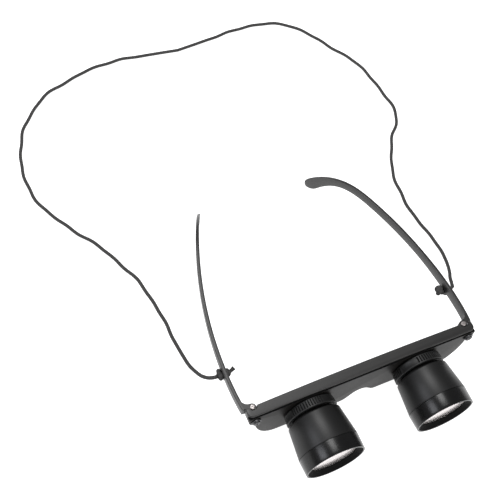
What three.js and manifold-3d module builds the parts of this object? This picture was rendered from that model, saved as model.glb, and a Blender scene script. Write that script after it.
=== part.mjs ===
// Binocular glasses: two short Galilean telescopes in a spectacle frame,
// with folding temples and a neck cord.
// Millimetres. X runs across the face, +Y back towards the ears, +Z up.
// While it is built, Y = 0 is the back face of the frame and Z = 0 the height of the two optical axes.
// A length named ...Depth or ...At on the telescopes is measured forward from that back face, towards -Y.

import * as THREE from 'three';
import * as BufferGeometryUtils from 'three/addons/utils/BufferGeometryUtils.js';
import Module from 'manifold-3d';

const wasm = await Module();
wasm.setup();

// Driving dimensions shared by several pieces
const eyeSpacing = 64;
const gap = 0.3;
const cutOver = 1;
const edgeRound = 0.3;
const mergeWithin = 0.0001;

// Frame and front cover
const frameEndReach = 34;
const frameTop = 14.8;
const lipThick = 1.4;
const lipDepth = 5.4;
const lipCornerRadius = 1.2;
const lipBow = 0.75;
const backWall = 1.6;
const rimWall = 1.3;
const coverFaceDepth = 5.9;
const coverThick = 1.8;
const shoulderDrop = 13.4;
const archRise = 6.9;
const archHalfWidth = 10.5;
const archCrownShare = 0.5;
const archFootShare = 0.62;
const lobeMargin = 0.8;
const lobeRampWidth = 11;
const lobeRampShare = 0.5;
const endStepWidth = 3.8;
const endSweepWidth = 14.2;
const endBottom = 4.4;
const endCornerHeight = 6.1;
const sweepFootShare = 0.56;
const sweepHeadShare = 0.915;
const sweepRiseShare = 0.39;
const saddleDepth = 4;

// Telescopes, as radii and as places along the axis
const lensBore = 9;
const guideWall = 0.9;
const flangeThick = 0.8;
const flangeRadius = 13;
const guideFrontAt = 23.5;
const sleeveWall = 0.8;
const sleeveRearAt = 5.5;
const sleeveFrontAt = 20;
const ringNeckWall = 0.8;
const ringRearAt = 6.6;
const ringFrontAt = 11.3;
const ringRearRadius = 13.7;
const ringFrontRadius = 14.2;
const ribDepth = 0.45;
const ribsPerGrip = 13;
const gripCount = 3;
const gripShare = 0.63;
const leftGripTurnShare = 0.192;
const rightGripTurnShare = 0.081;
const ribTopShare = 0.5;
const ribFootShares = [0.6, 0.9];
const smoothSteps = 4;
const barrelRearAt = 12.9;
const barrelRearRadius = 14.4;
const barrelFrontAt = 29.9;
const barrelFrontRadius = 16.4;
const barrelWall = 1.6;
const barrelRearWall = 1.5;
const seatLedge = 1.2;
const seatAt = 26;
const hoodFrontAt = 38;
const hoodFrontRadius = 16.15;
const hoodRimWidth = 0.9;
const hoodSpigotWall = 1.2;
const hoodBore = 13.7;
const clearRadius = 12.8;
const lipFrontAt = 35.2;
const lensLipThick = 0.7;
const objectiveEdge = 1.6;
const objectiveBulge = 1.5;
const spacerWall = 1.1;
const eyeLensEdge = 3;
const eyeLensDish = 0.9;
const eyeLensAt = 0.6;
const eyeLedge = 0.8;
const eyeRingRadius = 11;
const eyeRingDepth = 1.3;
const eyeAperture = 7.6;
const keyRadius = 0.8;
const keyHeadRadius = 1.4;
const keyHeadThick = 0.6;
const keyAt = 17;
const focusIn = 1;
const focusOut = 3.5;

// Screws of the front cover
const coverScrewInset = 3.7;
const coverScrewBelowTop = 3.7;
const coverScrewHeadRadius = 2.8;
const coverScrewHeadThick = 0.6;
const coverScrewCrownRadius = 2;
const coverScrewCrownThick = 0.9;
const coverScrewShank = 0.9;
const coverScrewTipAt = 3;
const bridgeScrewZ = 6;
const bridgePostRadius = 2.4;
const bridgePostClearance = 1.8;
const bridgeScrewHeadRadius = 1.8;
const bridgeScrewHeadThick = 0.8;
const bridgeScrewShank = 0.9;
const bridgeScrewCover = 1;
const driveSlotWidth = 0.5;
const driveSlotDepth = 0.35;
const driveSlotShare = 0.7;

// Temple hinges
const hingeInset = 4.1;
const hingeBack = 0.1;
const knuckleRadius = 2.1;
const knuckleClearance = 0.3;
const knuckleShares = [0.333, 0.667];
const hingeScrewRadius = 0.8;
const hingeHeadRadius = 1.5;
const hingeHeadThick = 1;
const headShoulderShares = [0.7, 0.9];
const lugWidth = 3;
const pocketDepth = 0.9;
const gussetBack = 6;
const gussetToeShare = 0.25;

// Temples
const templeThick = 2;
const templeProud = 1.9;
const templeFlare = 0.8;
const flareReach = 14;
const templeHeight = 6.2;
const templeWaistShare = 0.86;
const waistReach = 50;
const templeStartBack = -0.4;
const templeReach = 129.5;
const templeInward = 30.5;
const inwardStart = 14;
const dropStart = 88;
const tipRise = 0.42;
const paddleHalfWidth = 4;
const paddleReach = 22;
const tipEndShare = 0.2;
const lugBack = 24.2;
const eyeletRadius = 2.8;
const eyeletHole = 1.5;
const eyeletDrop = 0.2;

// Neck cord
const cordRadius = 1;
const leftKnot = { ballRadius: 2.4, ballLength: 3, collarRadius: 3, collarThick: 2, tailLength: 2.8 };
const rightKnot = { ballRadius: 3.1, ballLength: 3.6, collarRadius: 1.7, collarThick: 2, tailLength: 0 };
const tailRadiusShare = 0.95;
const tailBendShare = 0.4;

// Facets
const barrelSides = 32;
const innerSides = 24;
const screwSides = 12;
const cordSides = 8;
const cordSteps = 40;
const tailSteps = 4;
const templeStations = 28;
const arcSteps = 9;
const lensSteps = 3;
const knotRows = 8;

// Places that follow from them
const axisX = eyeSpacing / 2;
const frameHalfWidth = axisX + frameEndReach;
const coverTop = frameTop - lipThick - gap;
const coverBackAt = coverFaceDepth - coverThick;
const coverScrewSeatAt = coverFaceDepth + gap;
const coverScrewX = frameHalfWidth - coverScrewInset;
const coverScrewZ = coverTop - coverScrewBelowTop;
const guideOuter = lensBore + guideWall;
const sleeveInner = guideOuter + gap;
const sleeveOuter = sleeveInner + sleeveWall;
const ringBore = sleeveOuter + gap;
const ringNeckRadius = ringBore + ringNeckWall;
const coverHole = ringNeckRadius + gap;
const flangeAt = backWall + gap;
const ringFlangeAt = flangeAt + flangeThick + gap;
const lobeDrop = flangeRadius + gap + rimWall + lobeMargin;
const bridgeScrewX = axisX - flangeRadius - gap - bridgePostClearance - bridgePostRadius;
const bridgeScrewTipAt = coverFaceDepth - bridgeScrewCover;
const lensRadius = hoodBore - gap;
const objectiveFrontAt = lipFrontAt - lensLipThick - gap;
const objectiveRearAt = objectiveFrontAt - objectiveEdge;
const hingeX = frameHalfWidth - hingeInset;
const templeTop = coverTop;
const templeBottom = templeTop - templeHeight;
const [lowKnuckleTop, highKnuckleBottom] = knuckleShares.map((share) => templeBottom + templeHeight * share);
const templeOuterX = frameHalfWidth + templeProud;
const floorZ = -barrelFrontRadius;
const templeDrop = templeTop - templeHeight / 2 - floorZ - tipRise;
const eyeletZ = templeBottom - eyeletDrop;

const plastic = (name, colour, roughness) => {
  const material = new THREE.MeshStandardMaterial({ color: colour, roughness, metalness: 0 });
  material.name = name;
  return material;
};
const frameBlack = plastic('frame_plastic', 0x2b2b2d, 0.55);
const coverGrey = plastic('cover_plastic', 0x3a3938, 0.6);
const barrelBlack = plastic('barrel_plastic', 0x2a2a2c, 0.45);
const hoodGloss = plastic('hood_gloss', 0x1c1c20, 0.15);
const ringBlack = plastic('ring_plastic', 0x242426, 0.5);
const innerBlack = plastic('inner_plastic', 0x161616, 0.8);
const cordBlack = plastic('cord_black', 0x19191b, 0.9);
const steel = new THREE.MeshStandardMaterial({ color: 0xd0cfcc, roughness: 0.25, metalness: 1 });
const blackSteel = new THREE.MeshStandardMaterial({ color: 0x1e1e20, roughness: 0.4, metalness: 0.8 });
const glass = new THREE.MeshPhysicalMaterial({ color: 0xe8eef2, roughness: 0.02, transmission: 0.9 });

// Solids and geometries
function toSolid(geometry) {
  const bare = geometry.clone();
  bare.deleteAttribute('normal');
  bare.deleteAttribute('uv');
  const merged = BufferGeometryUtils.mergeVertices(bare, mergeWithin);
  const mesh = new wasm.Mesh({
    numProp: 3,
    vertProperties: new Float32Array(merged.attributes.position.array),
    triVerts: new Uint32Array(merged.index.array),
  });
  return new wasm.Manifold(mesh);
}

function toGeometry(solid) {
  const mesh = solid.getMesh();
  const geometry = new THREE.BufferGeometry();
  geometry.setAttribute('position', new THREE.BufferAttribute(mesh.vertProperties, 3));
  geometry.setIndex(new THREE.BufferAttribute(mesh.triVerts, 1));
  geometry.computeVertexNormals();
  return geometry;
}

function join(...geometries) {
  return geometries.map(toSolid).reduce((whole, piece) => whole.add(piece));
}

function cut(solid, ...geometries) {
  return geometries.map(toSolid).reduce((whole, tool) => whole.subtract(tool), solid);
}

// An outline in X and Z, extruded forward from one depth to another
function plateForward(shape, fromDepth, toDepth) {
  const geometry = new THREE.ExtrudeGeometry(shape, {
    depth: toDepth - fromDepth,
    bevelEnabled: false,
    curveSegments: arcSteps,
  });
  geometry.rotateX(Math.PI / 2);
  geometry.translate(0, -fromDepth, 0);
  return geometry;
}

// An outline in X and Y, extruded upward from one height to another
function plateUp(shape, fromHeight, toHeight) {
  const geometry = new THREE.ExtrudeGeometry(shape, {
    depth: toHeight - fromHeight,
    bevelEnabled: false,
    curveSegments: arcSteps,
  });
  geometry.translate(0, 0, fromHeight);
  return geometry;
}

function box(x0, x1, y0, y1, z0, z1) {
  const geometry = new THREE.BoxGeometry(x1 - x0, y1 - y0, z1 - z0);
  geometry.translate((x0 + x1) / 2, (y0 + y1) / 2, (z0 + z1) / 2);
  return geometry;
}

function uprightCylinder(radius, x, y, z0, z1, sides = innerSides) {
  const geometry = new THREE.CylinderGeometry(radius, radius, z1 - z0, sides);
  geometry.rotateX(Math.PI / 2);
  geometry.translate(x, y, (z0 + z1) / 2);
  return geometry;
}

function forwardCylinder(radius, x, z, fromDepth, toDepth, sides = innerSides) {
  const geometry = new THREE.CylinderGeometry(radius, radius, toDepth - fromDepth, sides);
  geometry.translate(x, -(fromDepth + toDepth) / 2, z);
  return geometry;
}

// A profile of [radius, depth] pairs turned about a forward axis; the last pair closes on the first
function turned(profile, x, z, sides) {
  const points = profile.map(([radius, depth]) => new THREE.Vector2(radius, depth));
  const onAxis = points[0].x === 0;
  if (!onAxis) points.push(points[0].clone());
  const geometry = new THREE.LatheGeometry(points, sides);
  geometry.rotateX(Math.PI);
  geometry.translate(x, 0, z);
  return outward(geometry);
}

function signedVolume(geometry) {
  const flat = geometry.index ? geometry.toNonIndexed() : geometry;
  const place = flat.attributes.position;
  const [a, b, c] = [new THREE.Vector3(), new THREE.Vector3(), new THREE.Vector3()];
  let total = 0;
  for (let i = 0; i < place.count; i += 3) {
    a.fromBufferAttribute(place, i);
    b.fromBufferAttribute(place, i + 1);
    c.fromBufferAttribute(place, i + 2);
    total += a.dot(b.cross(c));
  }
  return total;
}

// Turns every triangle round where a geometry came out with its faces pointing inwards
function outward(geometry) {
  if (signedVolume(geometry) >= 0) return geometry;
  const index = geometry.index;
  for (let i = 0; i < index.count; i += 3) {
    const first = index.getX(i);
    index.setX(i, index.getX(i + 1));
    index.setX(i + 1, first);
  }
  return geometry;
}

// A closed body through rings of equally many points
function loft(rings) {
  const count = rings[0].length;
  const places = rings.flat().flatMap((point) => [point.x, point.y, point.z]);
  const faces = [];
  for (let r = 0; r + 1 < rings.length; r++) {
    for (let i = 0; i < count; i++) {
      const here = r * count + i;
      const next = r * count + (i + 1) % count;
      faces.push(here, next, here + count, next, next + count, here + count);
    }
  }
  const last = (rings.length - 1) * count;
  for (let i = 1; i + 1 < count; i++) {
    faces.push(0, i + 1, i, last, last + i, last + i + 1);
  }
  const geometry = new THREE.BufferGeometry();
  geometry.setAttribute('position', new THREE.Float32BufferAttribute(places, 3));
  geometry.setIndex(faces);
  return outward(geometry);
}

const glasses = new THREE.Group();
const sides = [
  { name: 'left', sign: -1, knot: leftKnot, gripTurnShare: leftGripTurnShare },
  { name: 'right', sign: 1, knot: rightKnot, gripTurnShare: rightGripTurnShare },
];

function addMesh(name, geometry, material) {
  const plain = geometry instanceof THREE.BufferGeometry ? geometry : toGeometry(geometry);
  const mesh = new THREE.Mesh(plain, material);
  mesh.name = name;
  glasses.add(mesh);
  return mesh;
}

// Frame outline: half of the lower edge from the nose arch to the hinge end, then its mirror image
function halfContour() {
  const half = new THREE.Path();
  const archTop = archRise - shoulderDrop;
  const rampStart = axisX - lobeRampWidth;
  const rampMiddle = rampStart + lobeRampWidth * lobeRampShare;
  half.moveTo(0, archTop);
  half.bezierCurveTo(
    archHalfWidth * archCrownShare, archTop,
    archHalfWidth * archFootShare, -shoulderDrop,
    archHalfWidth, -shoulderDrop,
  );
  half.lineTo(rampStart, -shoulderDrop);
  half.bezierCurveTo(rampMiddle, -shoulderDrop, rampMiddle, -lobeDrop, axisX, -lobeDrop);
  const sweepEnd = frameHalfWidth - endStepWidth;
  const sweepStart = sweepEnd - endSweepWidth;
  half.lineTo(sweepStart, -lobeDrop);
  half.bezierCurveTo(
    sweepStart + endSweepWidth * sweepFootShare, -lobeDrop,
    sweepStart + endSweepWidth * sweepHeadShare, -lobeDrop * sweepRiseShare,
    sweepEnd, endBottom,
  );
  half.quadraticCurveTo(
    frameHalfWidth, endBottom + (endCornerHeight - endBottom) / 2,
    frameHalfWidth, endBottom + endCornerHeight,
  );
  return half.getPoints(arcSteps);
}

function fullContour(topHeight) {
  const half = halfContour();
  const right = [...half, new THREE.Vector2(frameHalfWidth, topHeight)];
  const left = right.slice(1).reverse().map((point) => new THREE.Vector2(-point.x, point.y));
  return [...right, ...left];
}

// The same outline moved inwards by one wall
function insetContour(points, wall) {
  return points.map((point, i) => {
    const before = points[(i + points.length - 1) % points.length];
    const after = points[(i + 1) % points.length];
    const along = after.clone().sub(before).normalize();
    return new THREE.Vector2(point.x - along.y * wall, point.y + along.x * wall);
  });
}

function lipShape() {
  const shape = new THREE.Shape();
  const front = -lipDepth;
  const round = lipCornerRadius;
  shape.moveTo(-frameHalfWidth, 0);
  shape.lineTo(-frameHalfWidth, front + round);
  shape.absarc(-frameHalfWidth + round, front + round, round, -Math.PI, -Math.PI / 2, false);
  shape.lineTo(frameHalfWidth - round, front);
  shape.absarc(frameHalfWidth - round, front + round, round, -Math.PI / 2, 0, false);
  shape.lineTo(frameHalfWidth, 0);
  shape.quadraticCurveTo(0, 2 * lipBow, -frameHalfWidth, 0);
  return shape;
}

// A wall behind the nose arch, for the nose to rest on
function saddleShape(outline, inset) {
  const onArch = (point) => Math.abs(point.x) <= archHalfWidth && point.y < 0;
  const turn = outline.findLastIndex((point) => !onArch(point)) + 1;
  const arch = (points) => [...points.slice(turn), ...points.slice(0, turn)]
    .filter((point, i) => onArch(outline[(i + turn) % outline.length]));
  return new THREE.Shape([...arch(outline), ...arch(inset).reverse()]);
}

function frameSolid() {
  const outline = fullContour(frameTop - lipThick / 2);
  const wallBackAt = coverBackAt - gap;
  const plate = new THREE.Shape(outline);
  const inset = insetContour(outline, rimWall);
  const underLip = coverTop - rimWall - gap;
  const hollow = inset.map((point) => (point.y > underLip ? point.clone().setY(frameTop) : point));
  const wall = cut(
    toSolid(plateForward(plate, backWall - edgeRound, wallBackAt)),
    plateForward(new THREE.Shape(hollow), backWall - cutOver, coverBackAt + cutOver),
  );
  const blockInnerX = coverScrewX - coverScrewHeadRadius - gap;
  let solid = join(
    plateForward(plate, 0, backWall),
    plateUp(lipShape(), coverTop + gap, frameTop),
    plateForward(saddleShape(outline, inset), -saddleDepth, backWall / 2),
  ).add(wall);
  const blockOutline = toSolid(plateForward(plate, backWall / 2, wallBackAt));
  for (const { sign } of sides) {
    const inside = sign * blockInnerX;
    const outside = sign * (frameHalfWidth + cutOver);
    const [low, high] = [Math.min(inside, outside), Math.max(inside, outside)];
    const keep = box(low, high, -coverBackAt, 0, -lobeDrop, frameTop);
    solid = solid.add(blockOutline.intersect(toSolid(keep)));
  }
  for (const { sign } of sides) {
    const knuckleRoom = knuckleRadius + knuckleClearance;
    const pocketEdge = sign * (hingeX - knuckleRoom);
    const pocketEnd = sign * (frameHalfWidth + cutOver);
    const lugBottom = lowKnuckleTop + gap;
    const lugTop = highKnuckleBottom - gap;
    solid = cut(
      solid,
      forwardCylinder(lensBore + gap, sign * axisX, 0, -cutOver, backWall + cutOver, barrelSides),
      box(
        Math.min(pocketEdge, pocketEnd), Math.max(pocketEdge, pocketEnd),
        -pocketDepth, cutOver, templeBottom - gap, coverTop + gap,
      ),
      uprightCylinder(knuckleRoom, sign * hingeX, hingeBack, templeBottom - gap, frameTop + cutOver),
      forwardCylinder(
        bridgeScrewShank + gap, sign * bridgeScrewX, bridgeScrewZ, -cutOver, backWall + cutOver, screwSides,
      ),
    );
    const lug = join(
      uprightCylinder(knuckleRadius, sign * hingeX, hingeBack, lugBottom, lugTop),
      box(
        sign * hingeX - lugWidth / 2, sign * hingeX + lugWidth / 2,
        -knuckleRoom - gap, hingeBack, lugBottom, lugTop,
      ),
    );
    solid = cut(
      solid.add(lug),
      uprightCylinder(
        hingeScrewRadius + gap, sign * hingeX, hingeBack, lugBottom - cutOver, lugTop + cutOver, screwSides,
      ),
      forwardCylinder(
        coverScrewShank + gap, sign * coverScrewX, coverScrewZ,
        coverScrewTipAt - gap, coverBackAt + cutOver, screwSides,
      ),
    );
  }
  return solid;
}

addMesh('frame', frameSolid(), frameBlack);

function coverSolid() {
  const outline = fullContour(coverTop);
  let solid = toSolid(plateForward(new THREE.Shape(outline), coverBackAt, coverFaceDepth));
  for (const { sign } of sides) {
    solid = solid.add(toSolid(forwardCylinder(
      bridgePostRadius, sign * bridgeScrewX, bridgeScrewZ,
      backWall + gap, coverBackAt + edgeRound, screwSides,
    )));
    solid = cut(
      solid,
      forwardCylinder(
        coverHole, sign * axisX, 0, coverBackAt - cutOver, coverFaceDepth + cutOver, barrelSides,
      ),
      forwardCylinder(
        coverScrewShank + gap, sign * coverScrewX, coverScrewZ,
        coverBackAt - cutOver, coverFaceDepth + cutOver, screwSides,
      ),
      forwardCylinder(
        bridgeScrewShank + gap, sign * bridgeScrewX, bridgeScrewZ,
        backWall, bridgeScrewTipAt + gap, screwSides,
      ),
    );
  }
  return solid;
}
addMesh('front_cover', coverSolid(), coverGrey);

// A screw with its axis along Y: its head rests at one depth and its tip reaches another.
// The head's steps are [radius, thickness] pairs, from the seat outwards.
function screwAlongY(x, z, headAt, tipAt, steps, shank) {
  const outward = Math.sign(headAt - tipAt);
  const round = (radius, from, to) => (
    forwardCylinder(radius, x, z, Math.min(from, to), Math.max(from, to), screwSides)
  );
  const pieces = [];
  let reached = headAt;
  for (const [radius, thick] of steps) {
    pieces.push(round(radius, headAt, reached + outward * thick));
    reached += outward * thick;
  }
  const inHead = headAt + outward * steps[0][1] / 2;
  pieces.push(round(shank, inHead, tipAt));
  const slotFloor = reached - outward * driveSlotDepth;
  const slotEnds = [slotFloor, reached + outward * cutOver].map((depth) => -depth);
  const long = steps[steps.length - 1][0] * driveSlotShare;
  const bars = [[long, driveSlotWidth / 2], [driveSlotWidth / 2, long]].map(([halfX, halfZ]) => box(
    x - halfX, x + halfX, Math.min(...slotEnds), Math.max(...slotEnds), z - halfZ, z + halfZ,
  ));
  return cut(join(...pieces), ...bars);
}

for (const { name, sign } of sides) {
  addMesh(`cover_screw_${name}`, screwAlongY(
    sign * coverScrewX, coverScrewZ, coverScrewSeatAt, coverScrewTipAt,
    [[coverScrewHeadRadius, coverScrewHeadThick], [coverScrewCrownRadius, coverScrewCrownThick]],
    coverScrewShank,
  ), blackSteel);
  addMesh(`bridge_screw_${name}`, screwAlongY(
    sign * bridgeScrewX, bridgeScrewZ, -gap, bridgeScrewTipAt,
    [[bridgeScrewHeadRadius, bridgeScrewHeadThick]], bridgeScrewShank,
  ), blackSteel);
}

// Telescope pieces, from the eye forward
function guideTube(x) {
  const ledgeAt = eyeLensAt + eyeLensEdge + gap;
  const tube = turned([
    [lensBore, flangeAt],
    [flangeRadius, flangeAt],
    [flangeRadius, flangeAt + flangeThick],
    [guideOuter, flangeAt + flangeThick],
    [guideOuter, guideFrontAt],
    [lensBore, guideFrontAt],
    [lensBore, ledgeAt + eyeLedge],
    [lensBore - eyeLedge, ledgeAt + eyeLedge],
    [lensBore - eyeLedge, ledgeAt],
    [lensBore, ledgeAt],
  ], x, 0, innerSides);
  const slotHalf = keyRadius + gap;
  const slot = box(
    x - slotHalf, x + slotHalf,
    -(keyAt + focusOut + slotHalf), -(keyAt - focusIn - slotHalf), -guideOuter - cutOver, 0,
  );
  return cut(toSolid(tube), slot);
}

function eyeLens(x) {
  const radius = lensBore - gap;
  const front = eyeLensAt + eyeLensEdge;
  const steps = lensSteps;
  const dish = (share) => eyeLensDish * (1 - share ** 2);
  const profile = [];
  for (let i = 0; i <= steps; i++) profile.push([radius * i / steps, eyeLensAt + dish(i / steps)]);
  for (let i = steps; i >= 0; i--) profile.push([radius * i / steps, front - dish(i / steps)]);
  return turned(profile, x, 0, innerSides);
}

function eyeRing(x) {
  return turned([
    [eyeAperture, eyeLensAt - gap],
    [lensBore - gap, eyeLensAt - gap],
    [lensBore - gap, -gap],
    [eyeRingRadius, -gap],
    [eyeRingRadius, -gap - eyeRingDepth / 2],
    [eyeRingRadius - eyeRingDepth / 2, -gap - eyeRingDepth],
    [eyeAperture + eyeRingDepth, -gap - eyeRingDepth],
    [eyeAperture, -gap - eyeRingDepth / 2],
  ], x, 0, innerSides);
}

// Grip outline: groups of ribs with smooth stretches between them
function gripShape(radius) {
  const shape = new THREE.Shape();
  const sector = 2 * Math.PI / gripCount;
  const ribAngle = sector * gripShare / ribsPerGrip;
  const polar = (angle, r) => [Math.cos(angle) * r, Math.sin(angle) * r];
  shape.moveTo(...polar(0, radius));
  for (let grip = 0; grip < gripCount; grip++) {
    for (let rib = 0; rib < ribsPerGrip; rib++) {
      const start = grip * sector + rib * ribAngle;
      shape.lineTo(...polar(start + ribAngle * ribTopShare, radius));
      for (const share of ribFootShares) shape.lineTo(...polar(start + ribAngle * share, radius - ribDepth));
      if (grip + 1 < gripCount || rib + 1 < ribsPerGrip) shape.lineTo(...polar(start + ribAngle, radius));
    }
    const smoothStart = grip * sector + sector * gripShare;
    const last = grip + 1 === gripCount;
    for (let i = last ? 0 : 1; i < smoothSteps; i++) {
      shape.lineTo(...polar(smoothStart + (sector * (1 - gripShare)) * i / smoothSteps, radius));
    }
    if (!last) shape.lineTo(...polar((grip + 1) * sector, radius));
  }
  return shape;
}

function focusRing(x, turnShare) {
  const grip = plateForward(gripShape(ringFrontRadius), ringRearAt, ringFrontAt);
  grip.rotateY(-2 * Math.PI * turnShare);
  grip.translate(x, 0, 0);
  const limit = turned([
    [0, ringRearAt - cutOver],
    [ringRearRadius, ringRearAt - cutOver],
    [ringRearRadius, ringRearAt],
    [ringFrontRadius, ringFrontAt - edgeRound],
    [ringFrontRadius - edgeRound, ringFrontAt],
    [ringFrontRadius - edgeRound, ringFrontAt + cutOver],
    [0, ringFrontAt + cutOver],
  ], x, 0, barrelSides);
  const neck = turned([
    [ringBore, ringFlangeAt],
    [flangeRadius, ringFlangeAt],
    [flangeRadius, ringFlangeAt + flangeThick],
    [ringNeckRadius, ringFlangeAt + flangeThick],
    [ringNeckRadius, ringRearAt + edgeRound],
    [ringBore, ringRearAt + edgeRound],
  ], x, 0, innerSides);
  const bore = forwardCylinder(ringBore, x, 0, ringRearAt - cutOver, ringFrontAt + cutOver, innerSides);
  return cut(toSolid(grip).intersect(toSolid(limit)), bore).add(toSolid(neck));
}

function barrelRadiusAt(depth) {
  const share = (depth - barrelRearAt) / (barrelFrontAt - barrelRearAt);
  return barrelRearRadius + (barrelFrontRadius - barrelRearRadius) * share;
}

function barrel(x) {
  const seatInner = lensRadius - spacerWall;
  const spigotBore = hoodBore + hoodSpigotWall + gap;
  const body = turned([
    [sleeveInner, sleeveRearAt],
    [sleeveOuter, sleeveRearAt],
    [sleeveOuter, barrelRearAt],
    [barrelRearRadius - edgeRound, barrelRearAt],
    [barrelRadiusAt(barrelRearAt + edgeRound), barrelRearAt + edgeRound],
    [barrelFrontRadius, barrelFrontAt],
    [spigotBore, barrelFrontAt],
    [spigotBore, seatAt],
    [seatInner, seatAt],
    [seatInner, seatAt - seatLedge],
    [barrelRadiusAt(seatAt - seatLedge) - barrelWall, seatAt - seatLedge],
    [barrelRadiusAt(barrelRearAt + barrelRearWall) - barrelWall, barrelRearAt + barrelRearWall],
    [sleeveOuter, barrelRearAt + barrelRearWall],
    [sleeveOuter, sleeveFrontAt],
    [sleeveInner, sleeveFrontAt],
  ], x, 0, barrelSides);
  const hole = uprightCylinder(
    keyRadius + gap, x, -keyAt, -sleeveOuter - gap, -sleeveInner + cutOver, screwSides,
  );
  return cut(toSolid(body), hole);
}

// The stud that keeps a barrel from turning: pressed through its sleeve, it slides in the guide tube's slot
function keyStud(x) {
  const headBottom = sleeveOuter + gap;
  return join(
    uprightCylinder(keyRadius, x, -keyAt, -headBottom - keyHeadThick / 2, -lensBore, screwSides),
    uprightCylinder(keyHeadRadius, x, -keyAt, -headBottom - keyHeadThick, -headBottom, screwSides),
  );
}

function spacerRing(x) {
  return turned([
    [lensRadius - spacerWall, seatAt + gap],
    [lensRadius, seatAt + gap],
    [lensRadius, objectiveRearAt - gap],
    [lensRadius - spacerWall, objectiveRearAt - gap],
  ], x, 0, innerSides);
}

function objectiveLens(x) {
  const steps = lensSteps;
  const bulge = (share) => objectiveBulge * (1 - share ** 2);
  const profile = [];
  const shares = Array.from({ length: steps + 1 }, (_, i) => i / steps);
  for (const share of shares) profile.push([lensRadius * share, objectiveRearAt - bulge(share)]);
  for (const share of shares.reverse()) profile.push([lensRadius * share, objectiveFrontAt + bulge(share)]);
  return turned(profile, x, 0, innerSides);
}

function hoodRing(x) {
  const rearAt = barrelFrontAt + gap / 2;
  return turned([
    [hoodBore, seatAt + gap],
    [hoodBore + hoodSpigotWall, seatAt + gap],
    [hoodBore + hoodSpigotWall, rearAt],
    [barrelFrontRadius, rearAt],
    [hoodFrontRadius, hoodFrontAt - edgeRound],
    [hoodFrontRadius - edgeRound, hoodFrontAt],
    [hoodFrontRadius - hoodRimWidth, hoodFrontAt],
    [clearRadius, lipFrontAt],
    [clearRadius, lipFrontAt - lensLipThick],
    [hoodBore, lipFrontAt - lensLipThick],
  ], x, 0, barrelSides);
}

for (const { name, sign, gripTurnShare } of sides) {
  const x = sign * axisX;
  addMesh(`guide_tube_${name}`, guideTube(x), innerBlack);
  addMesh(`eye_lens_${name}`, eyeLens(x), glass);
  addMesh(`eye_ring_${name}`, eyeRing(x), frameBlack);
  addMesh(`focus_ring_${name}`, focusRing(x, gripTurnShare), ringBlack);
  addMesh(`barrel_${name}`, barrel(x), barrelBlack);
  addMesh(`key_stud_${name}`, keyStud(x), steel);
  addMesh(`lens_spacer_${name}`, spacerRing(x), innerBlack);
  addMesh(`objective_lens_${name}`, objectiveLens(x), glass);
  addMesh(`hood_ring_${name}`, hoodRing(x), hoodGloss);
}

// Temple: a flat strap that bends inwards behind the ear and drops to a rounded paddle
function templeOuterAt(back) {
  const share = Math.max(0, back - inwardStart) / (templeReach - inwardStart);
  const flareShare = Math.max(0, flareReach - back) / flareReach;
  return templeOuterX - templeInward * share ** 2 - templeFlare * flareShare ** 2;
}

function templeCentreAt(back) {
  const share = Math.max(0, back - dropStart) / (templeReach - dropStart);
  return templeTop - templeHeight / 2 - templeDrop * share ** 3;
}

function templeRings() {
  const line = new THREE.CatmullRomCurve3();
  const count = templeStations;
  for (let i = 0; i <= count; i++) {
    const share = i / count;
    const back = templeStartBack + (templeReach - templeStartBack) * share;
    line.points.push(new THREE.Vector3(0, back, templeCentreAt(back)));
  }
  const length = line.getLength();
  const rings = [];
  for (let i = 0; i <= count; i++) {
    const along = length * i / count;
    const toEnd = length - along;
    const point = line.getPointAt(i / count);
    const tangent = line.getTangentAt(i / count);
    const up = new THREE.Vector3(0, -tangent.z, tangent.y);
    const thinning = THREE.MathUtils.smoothstep(along, lugBack, waistReach);
    const waist = templeHeight / 2 * (1 - (1 - templeWaistShare) * thinning);
    const widening = THREE.MathUtils.smoothstep(paddleReach - toEnd, 0, paddleReach);
    const nearEnd = Math.max(0, paddleHalfWidth - toEnd) / paddleHalfWidth;
    const rounding = Math.max(tipEndShare, Math.sqrt(1 - nearEnd ** 2));
    const half = THREE.MathUtils.lerp(waist, paddleHalfWidth, widening) * rounding;
    const top = point.clone().addScaledVector(up, half);
    const bottom = point.clone().addScaledVector(up, -half);
    rings.push(strapRing(top, bottom));
  }
  return rings;
}

// Four corners of the strap with its edges broken, as eight points
function strapRing(top, bottom) {
  const round = edgeRound;
  const down = bottom.clone().sub(top).normalize().multiplyScalar(round);
  const ring = [];
  const corner = (edge, sign, inset, depth) => {
    const outer = templeOuterAt(edge.y);
    const point = edge.clone().addScaledVector(down, sign * inset);
    point.x = outer - depth;
    ring.push(point);
  };
  corner(top, 1, 0, round);
  corner(top, 1, 1, 0);
  corner(bottom, -1, 1, 0);
  corner(bottom, -1, 0, round);
  corner(bottom, -1, 0, templeThick - round);
  corner(bottom, -1, 1, templeThick);
  corner(top, 1, 1, templeThick);
  corner(top, 1, 0, templeThick - round);
  return ring;
}

// The web between strap and knuckle, seen from above
function gussetShape() {
  const strapInner = templeOuterAt(0) - templeThick / 2;
  const shape = new THREE.Shape();
  shape.moveTo(hingeX, hingeBack - knuckleRadius * gussetToeShare);
  shape.lineTo(strapInner, templeStartBack);
  shape.lineTo(strapInner, gussetBack);
  shape.quadraticCurveTo(
    strapInner - templeThick / 2, hingeBack + knuckleRadius,
    hingeX, hingeBack + knuckleRadius,
  );
  shape.closePath();
  return shape;
}

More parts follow.
